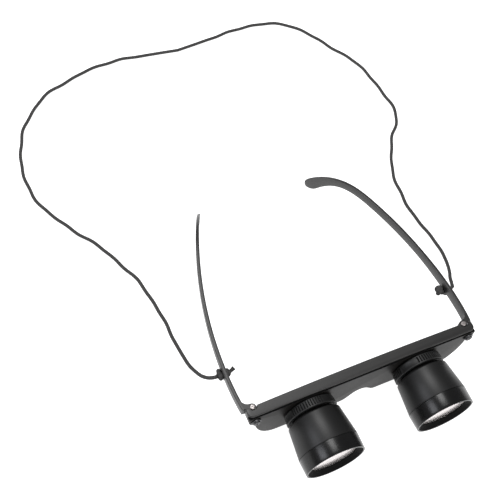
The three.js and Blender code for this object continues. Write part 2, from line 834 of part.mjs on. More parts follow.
function templeSolid() {
  let solid = toSolid(loft(templeRings()));
  for (const [low, high] of [[templeBottom, lowKnuckleTop], [highKnuckleBottom, templeTop]]) {
    solid = solid.add(join(
      uprightCylinder(knuckleRadius, hingeX, hingeBack, low, high),
      plateUp(gussetShape(), low, high),
    ));
  }
  const outer = templeOuterAt(lugBack);
  const eyelet = new THREE.CylinderGeometry(eyeletRadius, eyeletRadius, templeThick, innerSides);
  eyelet.rotateZ(Math.PI / 2);
  eyelet.translate(outer - templeThick / 2, lugBack, eyeletZ);
  const hole = new THREE.CylinderGeometry(eyeletHole, eyeletHole, templeThick + 2 * cutOver, screwSides);
  hole.rotateZ(Math.PI / 2);
  hole.translate(outer - templeThick / 2, lugBack, eyeletZ);
  return cut(
    solid.add(toSolid(eyelet)),
    uprightCylinder(
      hingeScrewRadius + gap, hingeX, hingeBack, templeBottom + gap, templeTop + cutOver, screwSides,
    ),
    hole,
  );
}

function hingeScrew() {
  const seat = templeTop + gap / 2;
  const [shoulderRadiusShare, shoulderHeightShare] = headShoulderShares;
  const head = new THREE.LatheGeometry([
    new THREE.Vector2(0, 0),
    new THREE.Vector2(hingeHeadRadius, 0),
    new THREE.Vector2(hingeHeadRadius, hingeHeadThick / 2),
    new THREE.Vector2(hingeHeadRadius * shoulderRadiusShare, hingeHeadThick * shoulderHeightShare),
    new THREE.Vector2(0, hingeHeadThick),
  ], screwSides);
  head.rotateX(Math.PI / 2);
  head.translate(hingeX, hingeBack, seat);
  const shank = uprightCylinder(
    hingeScrewRadius, hingeX, hingeBack, templeBottom + 2 * gap, seat + hingeHeadThick / 2, screwSides,
  );
  const slot = box(
    hingeX - hingeHeadRadius * driveSlotShare, hingeX + hingeHeadRadius * driveSlotShare,
    hingeBack - driveSlotWidth / 2, hingeBack + driveSlotWidth / 2,
    seat + hingeHeadThick - driveSlotDepth, seat + hingeHeadThick + cutOver,
  );
  return cut(join(outward(head), shank), slot);
}

function mirrored(solid, sign) {
  return sign > 0 ? solid : solid.mirror([1, 0, 0]);
}

for (const { name, sign } of sides) {
  addMesh(`temple_${name}`, mirrored(templeSolid(), sign), frameBlack);
  addMesh(`hinge_screw_${name}`, mirrored(hingeScrew(), sign), steel);
}

// Neck cord: one length from eyelet to eyelet, here in two stretches that meet behind the wearer's neck.
// Its points are places on the floor plane, or above it where the cord comes down from an eyelet.
const leftRoute = [
  [-71.8, 24.4, 6.5], [-73.7, 26, 4.2], [-75, 29, 0], [-75.7, 32.6, -4.6], [-76.3, 37.6, -9.6],
  [-77.1, 43.4, -13.7], [-77.9, 50.7, -15.2], [-79.2, 64, -15.2], [-80, 80, -15.2], [-82.4, 96, -15.2],
  [-88.5, 115, -15.2], [-99.5, 137, -15.2], [-114, 160, -15.2], [-122.4, 184, -15.2], [-121.3, 204, -15.2],
  [-117.5, 220, -15.2], [-108, 237, -15.2], [-93, 252, -15.2], [-70, 261.5, -15.2], [-45, 266.5, -15.2],
  [-20, 264.5, -15.2], [3, 261.6, -15.2],
];
const rightRoute = [
  [71.8, 24.5, 6.5], [74.2, 27.4, 3.9], [78, 33, -0.8], [82.4, 38, -6], [86.4, 43.6, -10.8],
  [89.4, 49.6, -14.2], [90.8, 58, -15.2], [89.6, 70, -15.2], [88.3, 84, -15.2], [87.8, 98, -15.2],
  [90.5, 114, -15.2], [96.5, 130, -15.2], [105.5, 144, -15.2], [114.5, 155.5, -15.2], [118.6, 167, -15.2],
  [117, 184, -15.2], [115, 205, -15.2], [106.5, 223, -15.2], [96, 242, -15.2], [84, 258, -15.2],
  [62, 266, -15.2], [40, 265.3, -15.2], [18, 263, -15.2],
];

function cordTube(points, stepCount, radius) {
  const path = new THREE.CatmullRomCurve3(points, false, 'centripetal');
  const section = new THREE.Shape();
  for (let i = 0; i < cordSides; i++) {
    const angle = 2 * Math.PI * i / cordSides;
    const place = [Math.cos(angle) * radius, Math.sin(angle) * radius];
    if (i === 0) section.moveTo(...place);
    else section.lineTo(...place);
  }
  return outward(indexed(new THREE.ExtrudeGeometry(section, { steps: stepCount, extrudePath: path })));
}

function indexed(geometry) {
  const bare = geometry.clone();
  bare.deleteAttribute('normal');
  bare.deleteAttribute('uv');
  return BufferGeometryUtils.mergeVertices(bare, mergeWithin);
}

const knotFaceX = (knot) => templeOuterAt(lugBack) + gap + knot.collarThick;

function cordPoints(route, sign, knot) {
  const start = new THREE.Vector3(sign * (knotFaceX(knot) + gap), lugBack, eyeletZ);
  return [start, ...route.map(([x, y, z]) => new THREE.Vector3(x, y, z))];
}

const leftPoints = cordPoints(leftRoute, -1, leftKnot);
const rightPoints = cordPoints(rightRoute, 1, rightKnot);
const meet = leftPoints[leftPoints.length - 1];
const joinFrom = rightPoints[rightPoints.length - 1];
const towardsMeet = meet.clone().sub(joinFrom).normalize();
rightPoints.push(meet.clone().addScaledVector(towardsMeet, -gap));

addMesh('neck_cord_left', cordTube(leftPoints, cordSteps, cordRadius), cordBlack);
addMesh('neck_cord_right', cordTube(rightPoints, cordSteps, cordRadius), cordBlack);

// A knot: its ball inside the eyelet, the stretch through the hole, the turn outside it and the cut tail
function knotSolid(knot) {
  const inner = templeOuterAt(lugBack) - templeThick - gap;
  const outer = knotFaceX(knot);
  const lump = (radius, x0, x1) => {
    const geometry = new THREE.SphereGeometry(radius, screwSides, knotRows);
    geometry.scale((x1 - x0) / (2 * radius), 1, 1);
    geometry.translate((x0 + x1) / 2, lugBack, eyeletZ);
    return geometry;
  };
  const ballMiddle = inner - knot.ballLength / 2;
  const throughHole = new THREE.CylinderGeometry(cordRadius, cordRadius, outer - ballMiddle, screwSides);
  throughHole.rotateZ(Math.PI / 2);
  throughHole.translate((outer + ballMiddle) / 2, lugBack, eyeletZ);
  const pieces = [
    lump(knot.ballRadius, inner - knot.ballLength, inner),
    lump(knot.collarRadius, outer - knot.collarThick, outer),
    throughHole,
  ];
  if (knot.tailLength > 0) {
    const from = inner - knot.ballLength;
    const bend = from - knot.tailLength * tailBendShare;
    pieces.push(cordTube([
      new THREE.Vector3(from + cordRadius, lugBack, eyeletZ),
      new THREE.Vector3(bend, lugBack + cordRadius / 2, eyeletZ + cordRadius / 2),
      new THREE.Vector3(from - knot.tailLength, lugBack + cordRadius, eyeletZ + 2 * cordRadius),
    ], tailSteps, cordRadius * tailRadiusShare));
  }
  return join(...pieces);
}

for (const { name, sign, knot } of sides) {
  addMesh(`cord_knot_${name}`, mirrored(knotSolid(knot), sign), cordBlack);
}

// The origin goes to the middle of the underside, measured without the cord
const bare = new THREE.Box3();
for (const mesh of glasses.children) {
  if (!mesh.name.includes('cord')) bare.expandByObject(mesh);
}
const centre = bare.getCenter(new THREE.Vector3());
glasses.position.set(-centre.x, -centre.y, -bare.min.z);

export default glasses;
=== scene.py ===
# %% [markdown]
# # Binocular glasses in Blender
# The object is a pair of small telescopes in a spectacle frame: a dark plastic bar with a thin
# cover, two focusing barrels, two folding temples with steel hinge screws and a thin neck cord.
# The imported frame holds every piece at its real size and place. This lesson models each piece again
# with finer edges and gives every surface its own finish.

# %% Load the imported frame
import math

import bpy
import numpy as np
from mathutils import Matrix, Vector


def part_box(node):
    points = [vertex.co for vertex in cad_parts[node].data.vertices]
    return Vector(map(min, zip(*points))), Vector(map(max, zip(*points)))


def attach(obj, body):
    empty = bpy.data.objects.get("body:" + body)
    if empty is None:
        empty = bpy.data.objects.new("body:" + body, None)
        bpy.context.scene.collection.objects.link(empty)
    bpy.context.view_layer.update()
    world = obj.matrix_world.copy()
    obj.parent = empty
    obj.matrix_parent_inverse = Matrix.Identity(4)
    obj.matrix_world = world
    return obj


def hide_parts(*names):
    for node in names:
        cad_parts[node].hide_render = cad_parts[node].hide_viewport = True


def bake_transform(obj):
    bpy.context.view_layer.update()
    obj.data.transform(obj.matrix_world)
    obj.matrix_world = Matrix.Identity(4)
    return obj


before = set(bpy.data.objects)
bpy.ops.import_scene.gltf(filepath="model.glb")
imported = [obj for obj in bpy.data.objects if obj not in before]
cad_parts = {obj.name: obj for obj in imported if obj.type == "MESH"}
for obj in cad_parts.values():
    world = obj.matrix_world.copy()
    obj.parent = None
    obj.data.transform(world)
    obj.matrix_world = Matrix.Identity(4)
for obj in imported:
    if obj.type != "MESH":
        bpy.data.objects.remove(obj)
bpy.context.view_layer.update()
bpy.ops.object.select_all(action="DESELECT")

# %% [markdown]
# ## Where things are
# The telescopes are the best ruler on this object: their axes give the height and the spacing, and
# the front of the hood gives the distance to the back face of the bar. Everything below is written
# in millimetres as x across the face, depth forward from that back face and height above the axes.

# %% Origin of the working measures
MM = 0.001
HOOD_REACH = 38
SIDES = {"left": -1, "right": 1}


def middle(node):
    low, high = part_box(node)
    return (low + high) / 2


axis_height = middle("barrel_left").z
axis_x = middle("barrel_right").x / MM
frame_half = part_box("frame")[1].x / MM
bar_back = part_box("hood_ring_left")[0].y + HOOD_REACH * MM


def added(name, data):
    """A new object, put into the scene."""
    obj = bpy.data.objects.new(name, data)
    bpy.context.scene.collection.objects.link(obj)
    return obj


def place(x, depth, height):
    """A point from millimetres across, forward from the bar's back and up from the axes."""
    return Vector((x * MM, bar_back - depth * MM, axis_height + height * MM))


print("axes", round(axis_x, 3), "mm out,", round(axis_height / MM, 2), "mm up")
print("back of the bar at", round(bar_back / MM, 2), "mm")

# %% [markdown]
# ## The camera
# The photograph looks down at 58 degrees from the front, a little from one side. The camera was
# fitted to marked points of the object, so its place is given in the same measures as the pieces.

# %% Camera at the photograph's viewpoint
CAMERA_AT = (-160.148, 134.111, 423.130)
CAMERA_RIGHT = (0.90946526, -0.40766036, 0.08176786)
CAMERA_DOWN = (-0.30882405, -0.79399772, -0.52363664)
CAMERA_FORWARD = (0.27838939, 0.45097745, -0.84800866)
FOCAL_PIXELS = 881.276
IMAGE_PIXELS = 500

camera_data = bpy.data.cameras.new("camera")
camera = added("camera", camera_data)
turn = Matrix((CAMERA_RIGHT, -Vector(CAMERA_DOWN), -Vector(CAMERA_FORWARD))).transposed()
camera.matrix_world = Matrix.Translation(place(*CAMERA_AT)) @ turn.to_4x4()
camera_data.lens = FOCAL_PIXELS * camera_data.sensor_width / IMAGE_PIXELS
camera_data.clip_start = 0.01
camera_data.clip_end = 10
bpy.context.scene.camera = camera
bpy.context.scene.view_settings.view_transform = "Standard"
print("lens", round(camera_data.lens, 2), "mm")

# %% [markdown]
# ## A small kit for materials
# Shader graphs read best as arithmetic. Wire wraps a socket and turns + - * into Math nodes, and
# Finish owns one material and makes any other node from its type, its settings and its inputs.

# %% Wires and finishes


class Wire:
    """A value on its way through a node tree."""

    def __init__(self, finish, socket):
        self.finish = finish
        self.socket = socket

    def math(self, operation, *others):
        inputs = dict(enumerate([self, *others]))
        return self.finish.node("ShaderNodeMath", {"operation": operation}, inputs)

    def __add__(self, other):
        return self.math("ADD", other)

    def __mul__(self, other):
        return self.math("MULTIPLY", other)

    def __sub__(self, other):
        return self.math("SUBTRACT", other)


class Finish:
    """One material and the nodes that make it."""

    def __init__(self, name):
        self.material = bpy.data.materials.new(name)
        self.material.use_nodes = True
        self.tree = self.material.node_tree
        self.shader = self.tree.nodes["Principled BSDF"]
        self.coordinates = self.node("ShaderNodeTexCoord", output="Object")

    def node(self, kind, settings=None, inputs=None, output=0):
        made = self.tree.nodes.new(kind)
        for key, value in (settings or {}).items():
            setattr(made, key, value)
        for key, value in (inputs or {}).items():
            self.feed(made.inputs[key], value)
        return Wire(self, made.outputs[output])

    def feed(self, socket, value):
        if isinstance(value, Wire):
            self.tree.links.new(value.socket, socket)
        else:
            socket.default_value = value

    def surface(self, **values):
        """Sets the shader's own sockets, by names such as Base_Color."""
        for key, value in values.items():
            self.feed(self.shader.inputs[key.replace("_", " ")], value)

    def noise(self, size, detail):
        """Clouds with features of a size in millimetres."""
        inputs = {"Vector": self.coordinates, "Scale": 1 / (size * MM), "Detail": detail}
        return self.node("ShaderNodeTexNoise", inputs=inputs)

    def mix(self, first, second, factor):
        inputs = {0: factor, 6: first, 7: second}
        return self.node("ShaderNodeMix", {"data_type": "RGBA"}, inputs, output=2)

    def bump(self, height, depth, strength=1.0):
        """A normal from a height wire, depth in millimetres."""
        inputs = {"Height": height, "Distance": depth * MM, "Strength": strength}
        return self.node("ShaderNodeBump", inputs=inputs)

    def over(self, other, factor):
        """Lays another shader over the material's own, by a factor."""
        own = Wire(self, self.shader.outputs[0])
        blend = self.node("ShaderNodeMixShader", inputs={0: factor, 1: own, 2: other})
        self.feed(self.tree.nodes["Material Output"].inputs["Surface"], blend)


def grey(value, warmth=0.0):
    """A linear grey with a little more red than blue where warmth is above zero."""
    return (value * (1 + warmth), value, value * (1 - warmth), 1)

# %% [markdown]
# ## Moulded plastic
# Most of the object is black plastic, but no two pieces shine alike: the bar is satin, the cover is
# dull and a little warm, the barrels have a fine spark-eroded grain and the hoods are polished. One
# recipe with different numbers covers them all: a slow drift of colour, a fine grain that moves both
# roughness and normal, and edges that are a touch lighter where hands rub them. The specular level
# is below the usual 0.5, because the pits of such a grain swallow part of the light.

# %% Moulded plastic finishes
DRIFT_SIZE = 9
DRIFT_SHARE = 0.6
DRIFT_ROUGH = 0.06
GRAIN_ROUGH = 0.1
RUBBED_LIGHTER = 2.2
RUBBED_BETWEEN = (0.5, 0.58)


def moulded(name, shades, rough, grain, warmth=0.0, edge=0.0, shine=0.5):
    """Black plastic between two linear greys; the grain's size and depth are in millimetres."""
    finish = Finish(name)
    low, high = shades
    drift = finish.noise(DRIFT_SIZE, 3)
    fine = finish.noise(grain[0], 4)
    cloud = drift * DRIFT_SHARE + fine * (1 - DRIFT_SHARE)
    colour = finish.mix(grey(low, warmth), grey(high, warmth), cloud)
    if edge > 0:
        pointed = finish.node("ShaderNodeNewGeometry", output="Pointiness")
        worn = finish.node("ShaderNodeValToRGB", inputs={0: pointed})
        for stop, position in zip(worn.socket.node.color_ramp.elements, RUBBED_BETWEEN):
            stop.position = position
        colour = finish.mix(colour, grey(high * RUBBED_LIGHTER, warmth), worn * edge)
    smoothest = rough - (DRIFT_ROUGH + GRAIN_ROUGH) / 2
    finish.surface(Base_Color=colour, Roughness=drift * DRIFT_ROUGH + fine * GRAIN_ROUGH + smoothest)
    finish.surface(Normal=finish.bump(fine, grain[1]), Specular_IOR_Level=shine)
    return finish.material


frame_plastic = moulded(
    "frame_plastic", (0.012, 0.017), 0.42, grain=(0.35, 0.004), warmth=0.03, edge=0.25, shine=0.42,
)
cover_plastic = moulded(
    "cover_plastic", (0.005, 0.008), 0.46, grain=(0.3, 0.006), warmth=0.1, edge=0.2, shine=0.15,
)
barrel_plastic = moulded(
    "barrel_plastic", (0.005, 0.007), 0.44, grain=(0.22, 0.004), edge=0.15, shine=0.35,
)
ring_plastic = moulded("ring_plastic", (0.007, 0.010), 0.46, grain=(0.25, 0.004), edge=0.5, shine=0.3)
hood_gloss = moulded("hood_gloss", (0.005, 0.007), 0.26, grain=(0.9, 0.001), edge=0.1, shine=0.25)
inner_plastic = moulded("inner_plastic", (0.006, 0.009), 0.7, grain=(0.4, 0.006), shine=0.25)
# A dull, nearly unreflecting black: painted shade in grooves and gaps, and the matte inside of the hoods.
matte_black_and_painted_shade = moulded("matte_black_and_painted_shade", (0.003, 0.005), 0.8, grain=(0.3, 0.004), shine=0.12)

# %% [markdown]
# ## Steel, glass and cord
# The hinge screws are bare steel and the others are blackened. Clear glass alone would only show
# the dark barrel, so the lenses carry a pink coating: a glossy layer, bright at a slant and clear
# face on. The cord is braided from dull thread. Its weave is the product of two sine waves that wind
# round it in opposite directions, drawn on the cord's own map so that it follows every bend.

# %% Metal finish


def metal(name, colour, rough, grain=0.15, depth=0.002):
    """Turned metal; grain and its depth in millimetres."""
    finish = Finish(name)
    fine = finish.noise(grain, 4)
    finish.surface(Base_Color=colour, Metallic=1.0, Roughness=fine * 0.15 + rough)
    finish.surface(Normal=finish.bump(fine, depth))
    return finish.material


hinge_steel = metal("hinge_steel", (0.42, 0.39, 0.38, 1), 0.38)
black_screw = metal("black_screw", (0.09, 0.09, 0.093, 1), 0.3)

# %% Lens finish
GLASS_INDEX = 1.52
COATING_TINT = (1.0, 0.94, 0.93, 1)
HAZE_SIZE = 6


def coated_glass(name, mirrored, clear):
    """Glass with a pink coating that mirrors strongly at a slant and hardly at all face on."""
    finish = Finish(name)
    haze = finish.noise(HAZE_SIZE, 2)
    tint = finish.mix((0.97, 0.95, 0.94, 1), (0.97, 0.92, 0.91, 1), haze)
    finish.surface(Base_Color=tint, Roughness=haze * 0.02 + 0.01)
    finish.surface(Transmission_Weight=clear, IOR=GLASS_INDEX)
    coating = finish.node("ShaderNodeBsdfGlossy", inputs={"Color": COATING_TINT, "Roughness": 0.2})
    facing = finish.node("ShaderNodeLayerWeight", inputs={"Blend": 0.5}, output="Facing")
    finish.over(coating, facing * mirrored)
    return finish.material


lens_glass = coated_glass("lens_glass", mirrored=0.8, clear=0.86)
eye_glass = coated_glass("lens_glass.eye", mirrored=0.5, clear=1)

# %% Cord finish
FUZZ_SIZE = 0.5
BRAID_DEPTH = 0.08


def braided(name, strands, lay):
    """Fine braid that follows the cord's own map: u along in metres, v round as a share."""
    finish = Finish(name)
    chart = finish.node("ShaderNodeUVMap", {"uv_map": "along"})
    along = finish.node("ShaderNodeSeparateXYZ", inputs={0: chart}) * (1 / (lay * MM))
    across = finish.node("ShaderNodeSeparateXYZ", inputs={0: chart}, output=1) * strands
    turn_right = (along + across) * math.tau
    turn_left = (along - across) * math.tau
    weave = turn_right.math("SINE") * turn_left.math("SINE") * 0.5 + 0.5
    fuzz = finish.noise(FUZZ_SIZE, 4)
    colour = finish.mix(grey(0.03), grey(0.075, 0.02), weave * 0.6 + fuzz * 0.4)
    finish.surface(Base_Color=colour, Roughness=weave * 0.15 + 0.75, Specular_IOR_Level=0.03)
    finish.surface(Normal=finish.bump(weave, BRAID_DEPTH, 0.7))
    return finish.material


cord_black = braided("cord_black", strands=5, lay=2.2)
print("finishes", len(bpy.data.materials))

# %% [markdown]
# ## Modelling tools
# Every rigid piece is shaped as by hand: a primitive is added, its vertices are extruded, spun,
# inset or bevelled in edit mode, and modifiers are applied at the end. A few short helpers keep the
# selection tidy, because an operator always acts on all that is selected.

# %% Selection and edit mode
WELD = 0.000001


def only(obj):
    """Selects one object and makes it the active one."""
    bpy.ops.object.select_all(action="DESELECT")
    obj.select_set(True)
    bpy.context.view_layer.objects.active = obj
    return obj


def settle(obj):
    """Writes an object's place, turn and scale into its mesh."""
    only(obj)
    bpy.ops.object.transform_apply(location=True, rotation=True, scale=True)
    return obj


def edit(obj, kind="VERT"):
    only(obj)
    bpy.ops.object.mode_set(mode="EDIT")
    bpy.ops.mesh.select_mode(type=kind)
    bpy.ops.mesh.select_all(action="SELECT")


def leave():
    bpy.ops.object.mode_set(mode="OBJECT")


def close(obj):
    """Merges doubled points and turns all faces outwards."""
    edit(obj)
    bpy.ops.mesh.remove_doubles(threshold=WELD)
    bpy.ops.mesh.normals_make_consistent(inside=False)
    leave()
    return settle(obj)


def pick(obj, test):
    """Enters edit mode with the faces selected that pass a test."""
    edit(obj, "FACE")
    bpy.ops.mesh.select_all(action="DESELECT")
    leave()
    for face in obj.data.polygons:
        face.select = test(face)
    bpy.ops.object.mode_set(mode="EDIT")

# %% Edges and dressing


def soften(obj, width, segments=2, angle=28):
    """Rounds the sharp edges by a width in millimetres and smooths the rest."""
    if width > 0:
        bevel = obj.modifiers.new("edges", "BEVEL")
        bevel.width = width * MM
        bevel.segments = segments
        bevel.limit_method = "ANGLE"
        bevel.angle_limit = math.radians(angle)
        only(obj)
        bpy.ops.object.modifier_apply(modifier="edges")
    only(obj)
    bpy.ops.object.shade_smooth_by_angle(angle=math.radians(angle))
    return obj


def dress(obj, edge, material, body, node, **rounding):
    """Softens a piece, unless edge is None, and gives it its finish, its body and its node."""
    if edge is not None:
        soften(obj, edge, **rounding)
    obj.data.materials.clear()
    obj.data.materials.append(material)
    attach(obj, body)
    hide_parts(node)
    print(obj.name, len(obj.data.polygons), "faces")
    return obj


def darken(obj, test):
    """Gives the faces that pass a test a dull black: painted shade in grooves and gaps, and the matte
    inside of the hoods.
    """
    obj.data.materials.append(matte_black_and_painted_shade)
    for face in obj.data.polygons:
        if test(face):
            face.material_index = 1


def joined(name, *objs):
    only(objs[0])
    for obj in objs:
        obj.select_set(True)
    bpy.ops.object.join()
    objs[0].name = name
    return objs[0]


def combine(obj, other, operation):
    """Boolean of two closed pieces; the second is used up."""
    modifier = obj.modifiers.new("combine", "BOOLEAN")
    modifier.object = other
    modifier.operation = operation
    modifier.solver = "EXACT"
    only(obj)
    bpy.ops.object.modifier_apply(modifier="combine")
    bpy.data.objects.remove(other)
    return obj

# %% [markdown]
# ## Turned pieces
# Barrels, hoods, rings, lenses and screws are all round, so one lathe makes them: it spins a chain
# of edges about an axis. That beats stacked cylinders, because every step, lip and chamfer of the
# profile comes out as one closed skin.

# %% The lathe
ACROSS = Vector((1, 0, 0))
BACK = Vector((0, 1, 0))
UP = Vector((0, 0, 1))
AXES = {"forward": (ACROSS, -BACK), "up": (ACROSS, UP), "across": (BACK, ACROSS), "back": (ACROSS, BACK)}


def trace(name, points):
    """A chain of edges through the points, left in edit mode with all of it selected."""
    bpy.ops.mesh.primitive_plane_add(size=MM, location=points[0])
    obj = bpy.context.object
    obj.name = name
    edit(obj)
    bpy.ops.mesh.merge(type="CENTER")
    for here, there in zip(points, points[1:]):
        bpy.ops.mesh.extrude_vertices_move(TRANSFORM_OT_translate={"value": there - here})
    bpy.ops.mesh.select_all(action="SELECT")
    bpy.ops.mesh.remove_doubles(threshold=WELD)
    return obj


def lathe(name, profile, centre, axis="forward", start=0.0, steps=96):
    """Spins (radius, along) pairs in millimetres; a profile that starts on the axis ends there too."""
    out, ahead = AXES[axis]
    side = ahead.cross(out)
    ray = out * math.cos(start) - side * math.sin(start)
    points = [centre + (ray * radius + ahead * along) * MM for radius, along in profile]
    if profile[0][0] > 0:
        points.append(points[0])
    obj = trace(name, points)
    bpy.ops.mesh.spin(steps=steps, angle=math.tau, center=centre, axis=ahead)
    leave()
    return close(obj)


def rod(centre, axis, radius, low, high, steps=48):
    """A round bar along an axis, used to cut holes and to add knuckles."""
    profile = [(0, low), (radius, low), (radius, high), (0, high)]
    return lathe("rod", profile, centre, axis, steps=steps)


def drill(obj, centre, axis, radius, low, high, steps=32):
    """A round hole along an axis."""
    return combine(obj, rod(centre, axis, radius, low, high, steps), "DIFFERENCE")


def arc(radius, centre_along, bulge, steps, inward=False):
    """Points of a shallow lens face, from the axis out to a radius, or back in again."""
    shares = [i / steps for i in range(steps + 1)]
    points = [(radius * share, centre_along + bulge * (1 - share ** 2)) for share in shares]
    return points[::-1] if inward else points

# %% [markdown]
# ## Telescope barrels
# Each barrel is a cone that widens from 28.8 to 32.8 mm over 17 mm, with a thin sleeve behind it
# that slides on the guide tube. One profile goes up the outside and back down the bore, so the
# wall has its real thickness. Fine rounded edges at both ends catch the light as a thin line.

# %% Barrels
BARREL_REAR = 12.9
BARREL_MIDDLE = 20
BARREL_FRONT = 29.9
BARREL_RADII = (14.4, 16.4)
BARREL_CHAMFER = 0.5
BARREL_WALL = 1.6
BACK_PLATE_FRONT = 14.4
SLEEVE = (10.2, 11.0)
SLEEVE_ENDS = (5.5, 20)
SPIGOT_BORE = 15.2
SEAT = 26
SEAT_REAR = SEAT - 1.2
SEAT_INNER = 12.3
KEY_AT = 17
KEY_HOLE = (1.1, -11.5, -9.5)


def axis_point(side, depth=0):
    return place(SIDES[side] * axis_x, depth, 0)


def reach_of(face, centre):
    """How far a face lies from a telescope's axis, in millimetres."""
    offset = face.center - centre
    return math.hypot(offset.x, offset.z) / MM


def on_cone(depth, inwards=0):
    """A point of the barrel's outside, or of its wall further in, as (radius, depth)."""
    share = (depth - BARREL_REAR) / (BARREL_FRONT - BARREL_REAR)
    return BARREL_RADII[0] + (BARREL_RADII[1] - BARREL_RADII[0]) * share - inwards, depth


barrel_profile = [
    (SLEEVE[0], SLEEVE_ENDS[0]), (SLEEVE[1], SLEEVE_ENDS[0]), (SLEEVE[1], BARREL_REAR),
    on_cone(BARREL_REAR, BARREL_CHAMFER), on_cone(BARREL_REAR + BARREL_CHAMFER), on_cone(BARREL_MIDDLE),
    on_cone(BARREL_FRONT), (SPIGOT_BORE, BARREL_FRONT), (SPIGOT_BORE, SEAT), (SEAT_INNER, SEAT),
    (SEAT_INNER, SEAT_REAR), on_cone(SEAT_REAR, BARREL_WALL), on_cone(BACK_PLATE_FRONT, BARREL_WALL),
    (SLEEVE[1], BACK_PLATE_FRONT), (SLEEVE[1], SLEEVE_ENDS[1]), (SLEEVE[0], SLEEVE_ENDS[1]),
]
for side in SIDES:
    barrel = lathe(f"barrel_shell_{side}", barrel_profile, axis_point(side), steps=112)
    barrel = drill(soften(barrel, 0.14), axis_point(side, KEY_AT), "up", *KEY_HOLE, steps=24)
    dress(barrel, 0, barrel_plastic, f"{side}_barrel", f"barrel_{side}")

# %% [markdown]
# ## Glossy hoods
# A polished ring closes each barrel and holds the objective lens. Inside, a funnel with fine steps
# runs down to the lip over the lens, so that stray light dies there. The steps are real geometry,
# and the faces inside the rim are dull black, because polish there would mirror the lamps.

# %% Hoods
HOOD_REAR = 30.05
HOOD_TAPER_END = 36.5
HOOD_TAPER = 0.05
HOOD_FRONT_RADIUS = 16.15
HOOD_BORE = 13.7
SPIGOT_OUTER = HOOD_BORE + 1.2
SPIGOT_REAR = SEAT + 0.3
RIM_INNER = HOOD_FRONT_RADIUS - 0.9
CLEAR_RADIUS = 12.4
LIP_FRONT = 35.9
LIP_REAR = LIP_FRONT - 0.4
FUNNEL_STEPS = 9
STEP_LIP = 0.02


def funnel():
    """Fine steps from the rim down to the lip over the lens."""
    points = []
    for i in range(FUNNEL_STEPS):
        outer, inner = (RIM_INNER + (CLEAR_RADIUS - RIM_INNER) * n / FUNNEL_STEPS for n in (i, i + 1))
        depth = HOOD_REACH + (LIP_FRONT - HOOD_REACH) * (i + 1) / FUNNEL_STEPS
        points += [(outer - STEP_LIP, depth), (inner, depth)]
    return points


hood_profile = [
    (HOOD_BORE, SPIGOT_REAR), (SPIGOT_OUTER, SPIGOT_REAR), (SPIGOT_OUTER, HOOD_REAR),
    (BARREL_RADII[1], HOOD_REAR), (HOOD_FRONT_RADIUS + HOOD_TAPER, HOOD_TAPER_END),
    (HOOD_FRONT_RADIUS, HOOD_REACH), (RIM_INNER, HOOD_REACH), *funnel(),
    (CLEAR_RADIUS, LIP_REAR), (HOOD_BORE, LIP_REAR),
]
for side in SIDES:
    hood = lathe(f"hood_{side}", hood_profile, axis_point(side), steps=128)
    dress(hood, 0.16, hood_gloss, f"{side}_barrel", f"hood_ring_{side}", segments=3)
    darken(hood, lambda face: reach_of(face, axis_point(side)) < RIM_INNER - 0.05)

# %% [markdown]
# ## Lenses
# The objective is nearly flat in front and convex behind, and the eye lens is hollow on both sides,
# as in any Galilean telescope. The flat coated face mirrors the table as a white crescent.

# %% Objective and eye lenses
OBJECTIVE_RADIUS = 13.4
OBJECTIVE_FACES = [(32.9, -2), (35.4, 0.15)]
EYE_RADIUS = 8.7
EYE_FACES = [(0.6, 0.9), (3.6, -0.9)]


def lens(name, side, radius, faces, steps):
    """A disc between two faces, each given by its edge's place and its bulge."""
    profile = arc(radius, *faces[0], steps) + arc(radius, *faces[1], steps, inward=True)
    return lathe(f"{name}_{side}", profile, axis_point(side))


for side in SIDES:
    objective = lens("objective", side, OBJECTIVE_RADIUS, OBJECTIVE_FACES, 24)
    dress(objective, 0.08, lens_glass, f"{side}_barrel", f"objective_lens_{side}")
    eye = lens("eye_glass", side, EYE_RADIUS, EYE_FACES, 12)
    dress(eye, 0.08, eye_glass, "front", f"eye_lens_{side}")

# %% [markdown]
# ## Rings that hold the glass
# A spacer behind each objective keeps it against the lip, and a flat ring screws over each eye
# lens. The eye ring is the piece that a wearer sees, so its aperture gets a generous chamfer.

# %% Spacers and eye rings
SPACER = [(12.3, 26.3), (13.4, 26.3), (13.4, 32.3), (12.3, 32.3)]
EYE_CUP = [
    (7.6, 0.3), (8.7, 0.3), (8.7, -0.3), (11, -0.3), (11, -0.95), (10.35, -1.6), (8.9, -1.6), (7.6, -0.95),
]
for side in SIDES:
    spacer = lathe(f"spacer_{side}", SPACER, axis_point(side))
    dress(spacer, 0.12, inner_plastic, f"{side}_barrel", f"lens_spacer_{side}")
    eye_ring = lathe(f"eye_cup_{side}", EYE_CUP, axis_point(side))
    dress(eye_ring, 0.15, frame_plastic, "front", f"eye_ring_{side}", segments=3)

# %% [markdown]
# ## Focus rings
# The ring is gripped between finger and thumb, so it has three groups of thirteen ribs with
# smooth, slightly sunk panels between them. The lathe makes the bare ring with one long face per
# step; the grooves are then inset face by face, and each panel as one region. Hardly any light
# reaches the floor of a groove, so those faces get a dull black as painted shade.

# %% Ribbed focus rings
RING_SECTORS = 3
RIBS = 13
PANEL_STEPS = 15
GROOVE = (0.06, 0.42)
PANEL = (0.4, 0.16)
BAND = (7.1, 10.6)
BAND_FLOOR = 13.62
GRIP_RING = [
    (11.3, 3.0), (13, 3.0), (13, 3.8), (12.1, 3.8), (12.1, 6.6), (13.4, 6.6), (13.7, 6.9),
    (13.74, BAND[0]), (14.13, BAND[1]), (14.18, 11.0), (13.9, 11.3), (11.6, 11.3), (11.3, 11.0),
]
RING_START = {"left": math.tau * 0.192, "right": math.tau * 0.081}
sector_steps = 2 * RIBS + PANEL_STEPS
ring_steps = RING_SECTORS * sector_steps


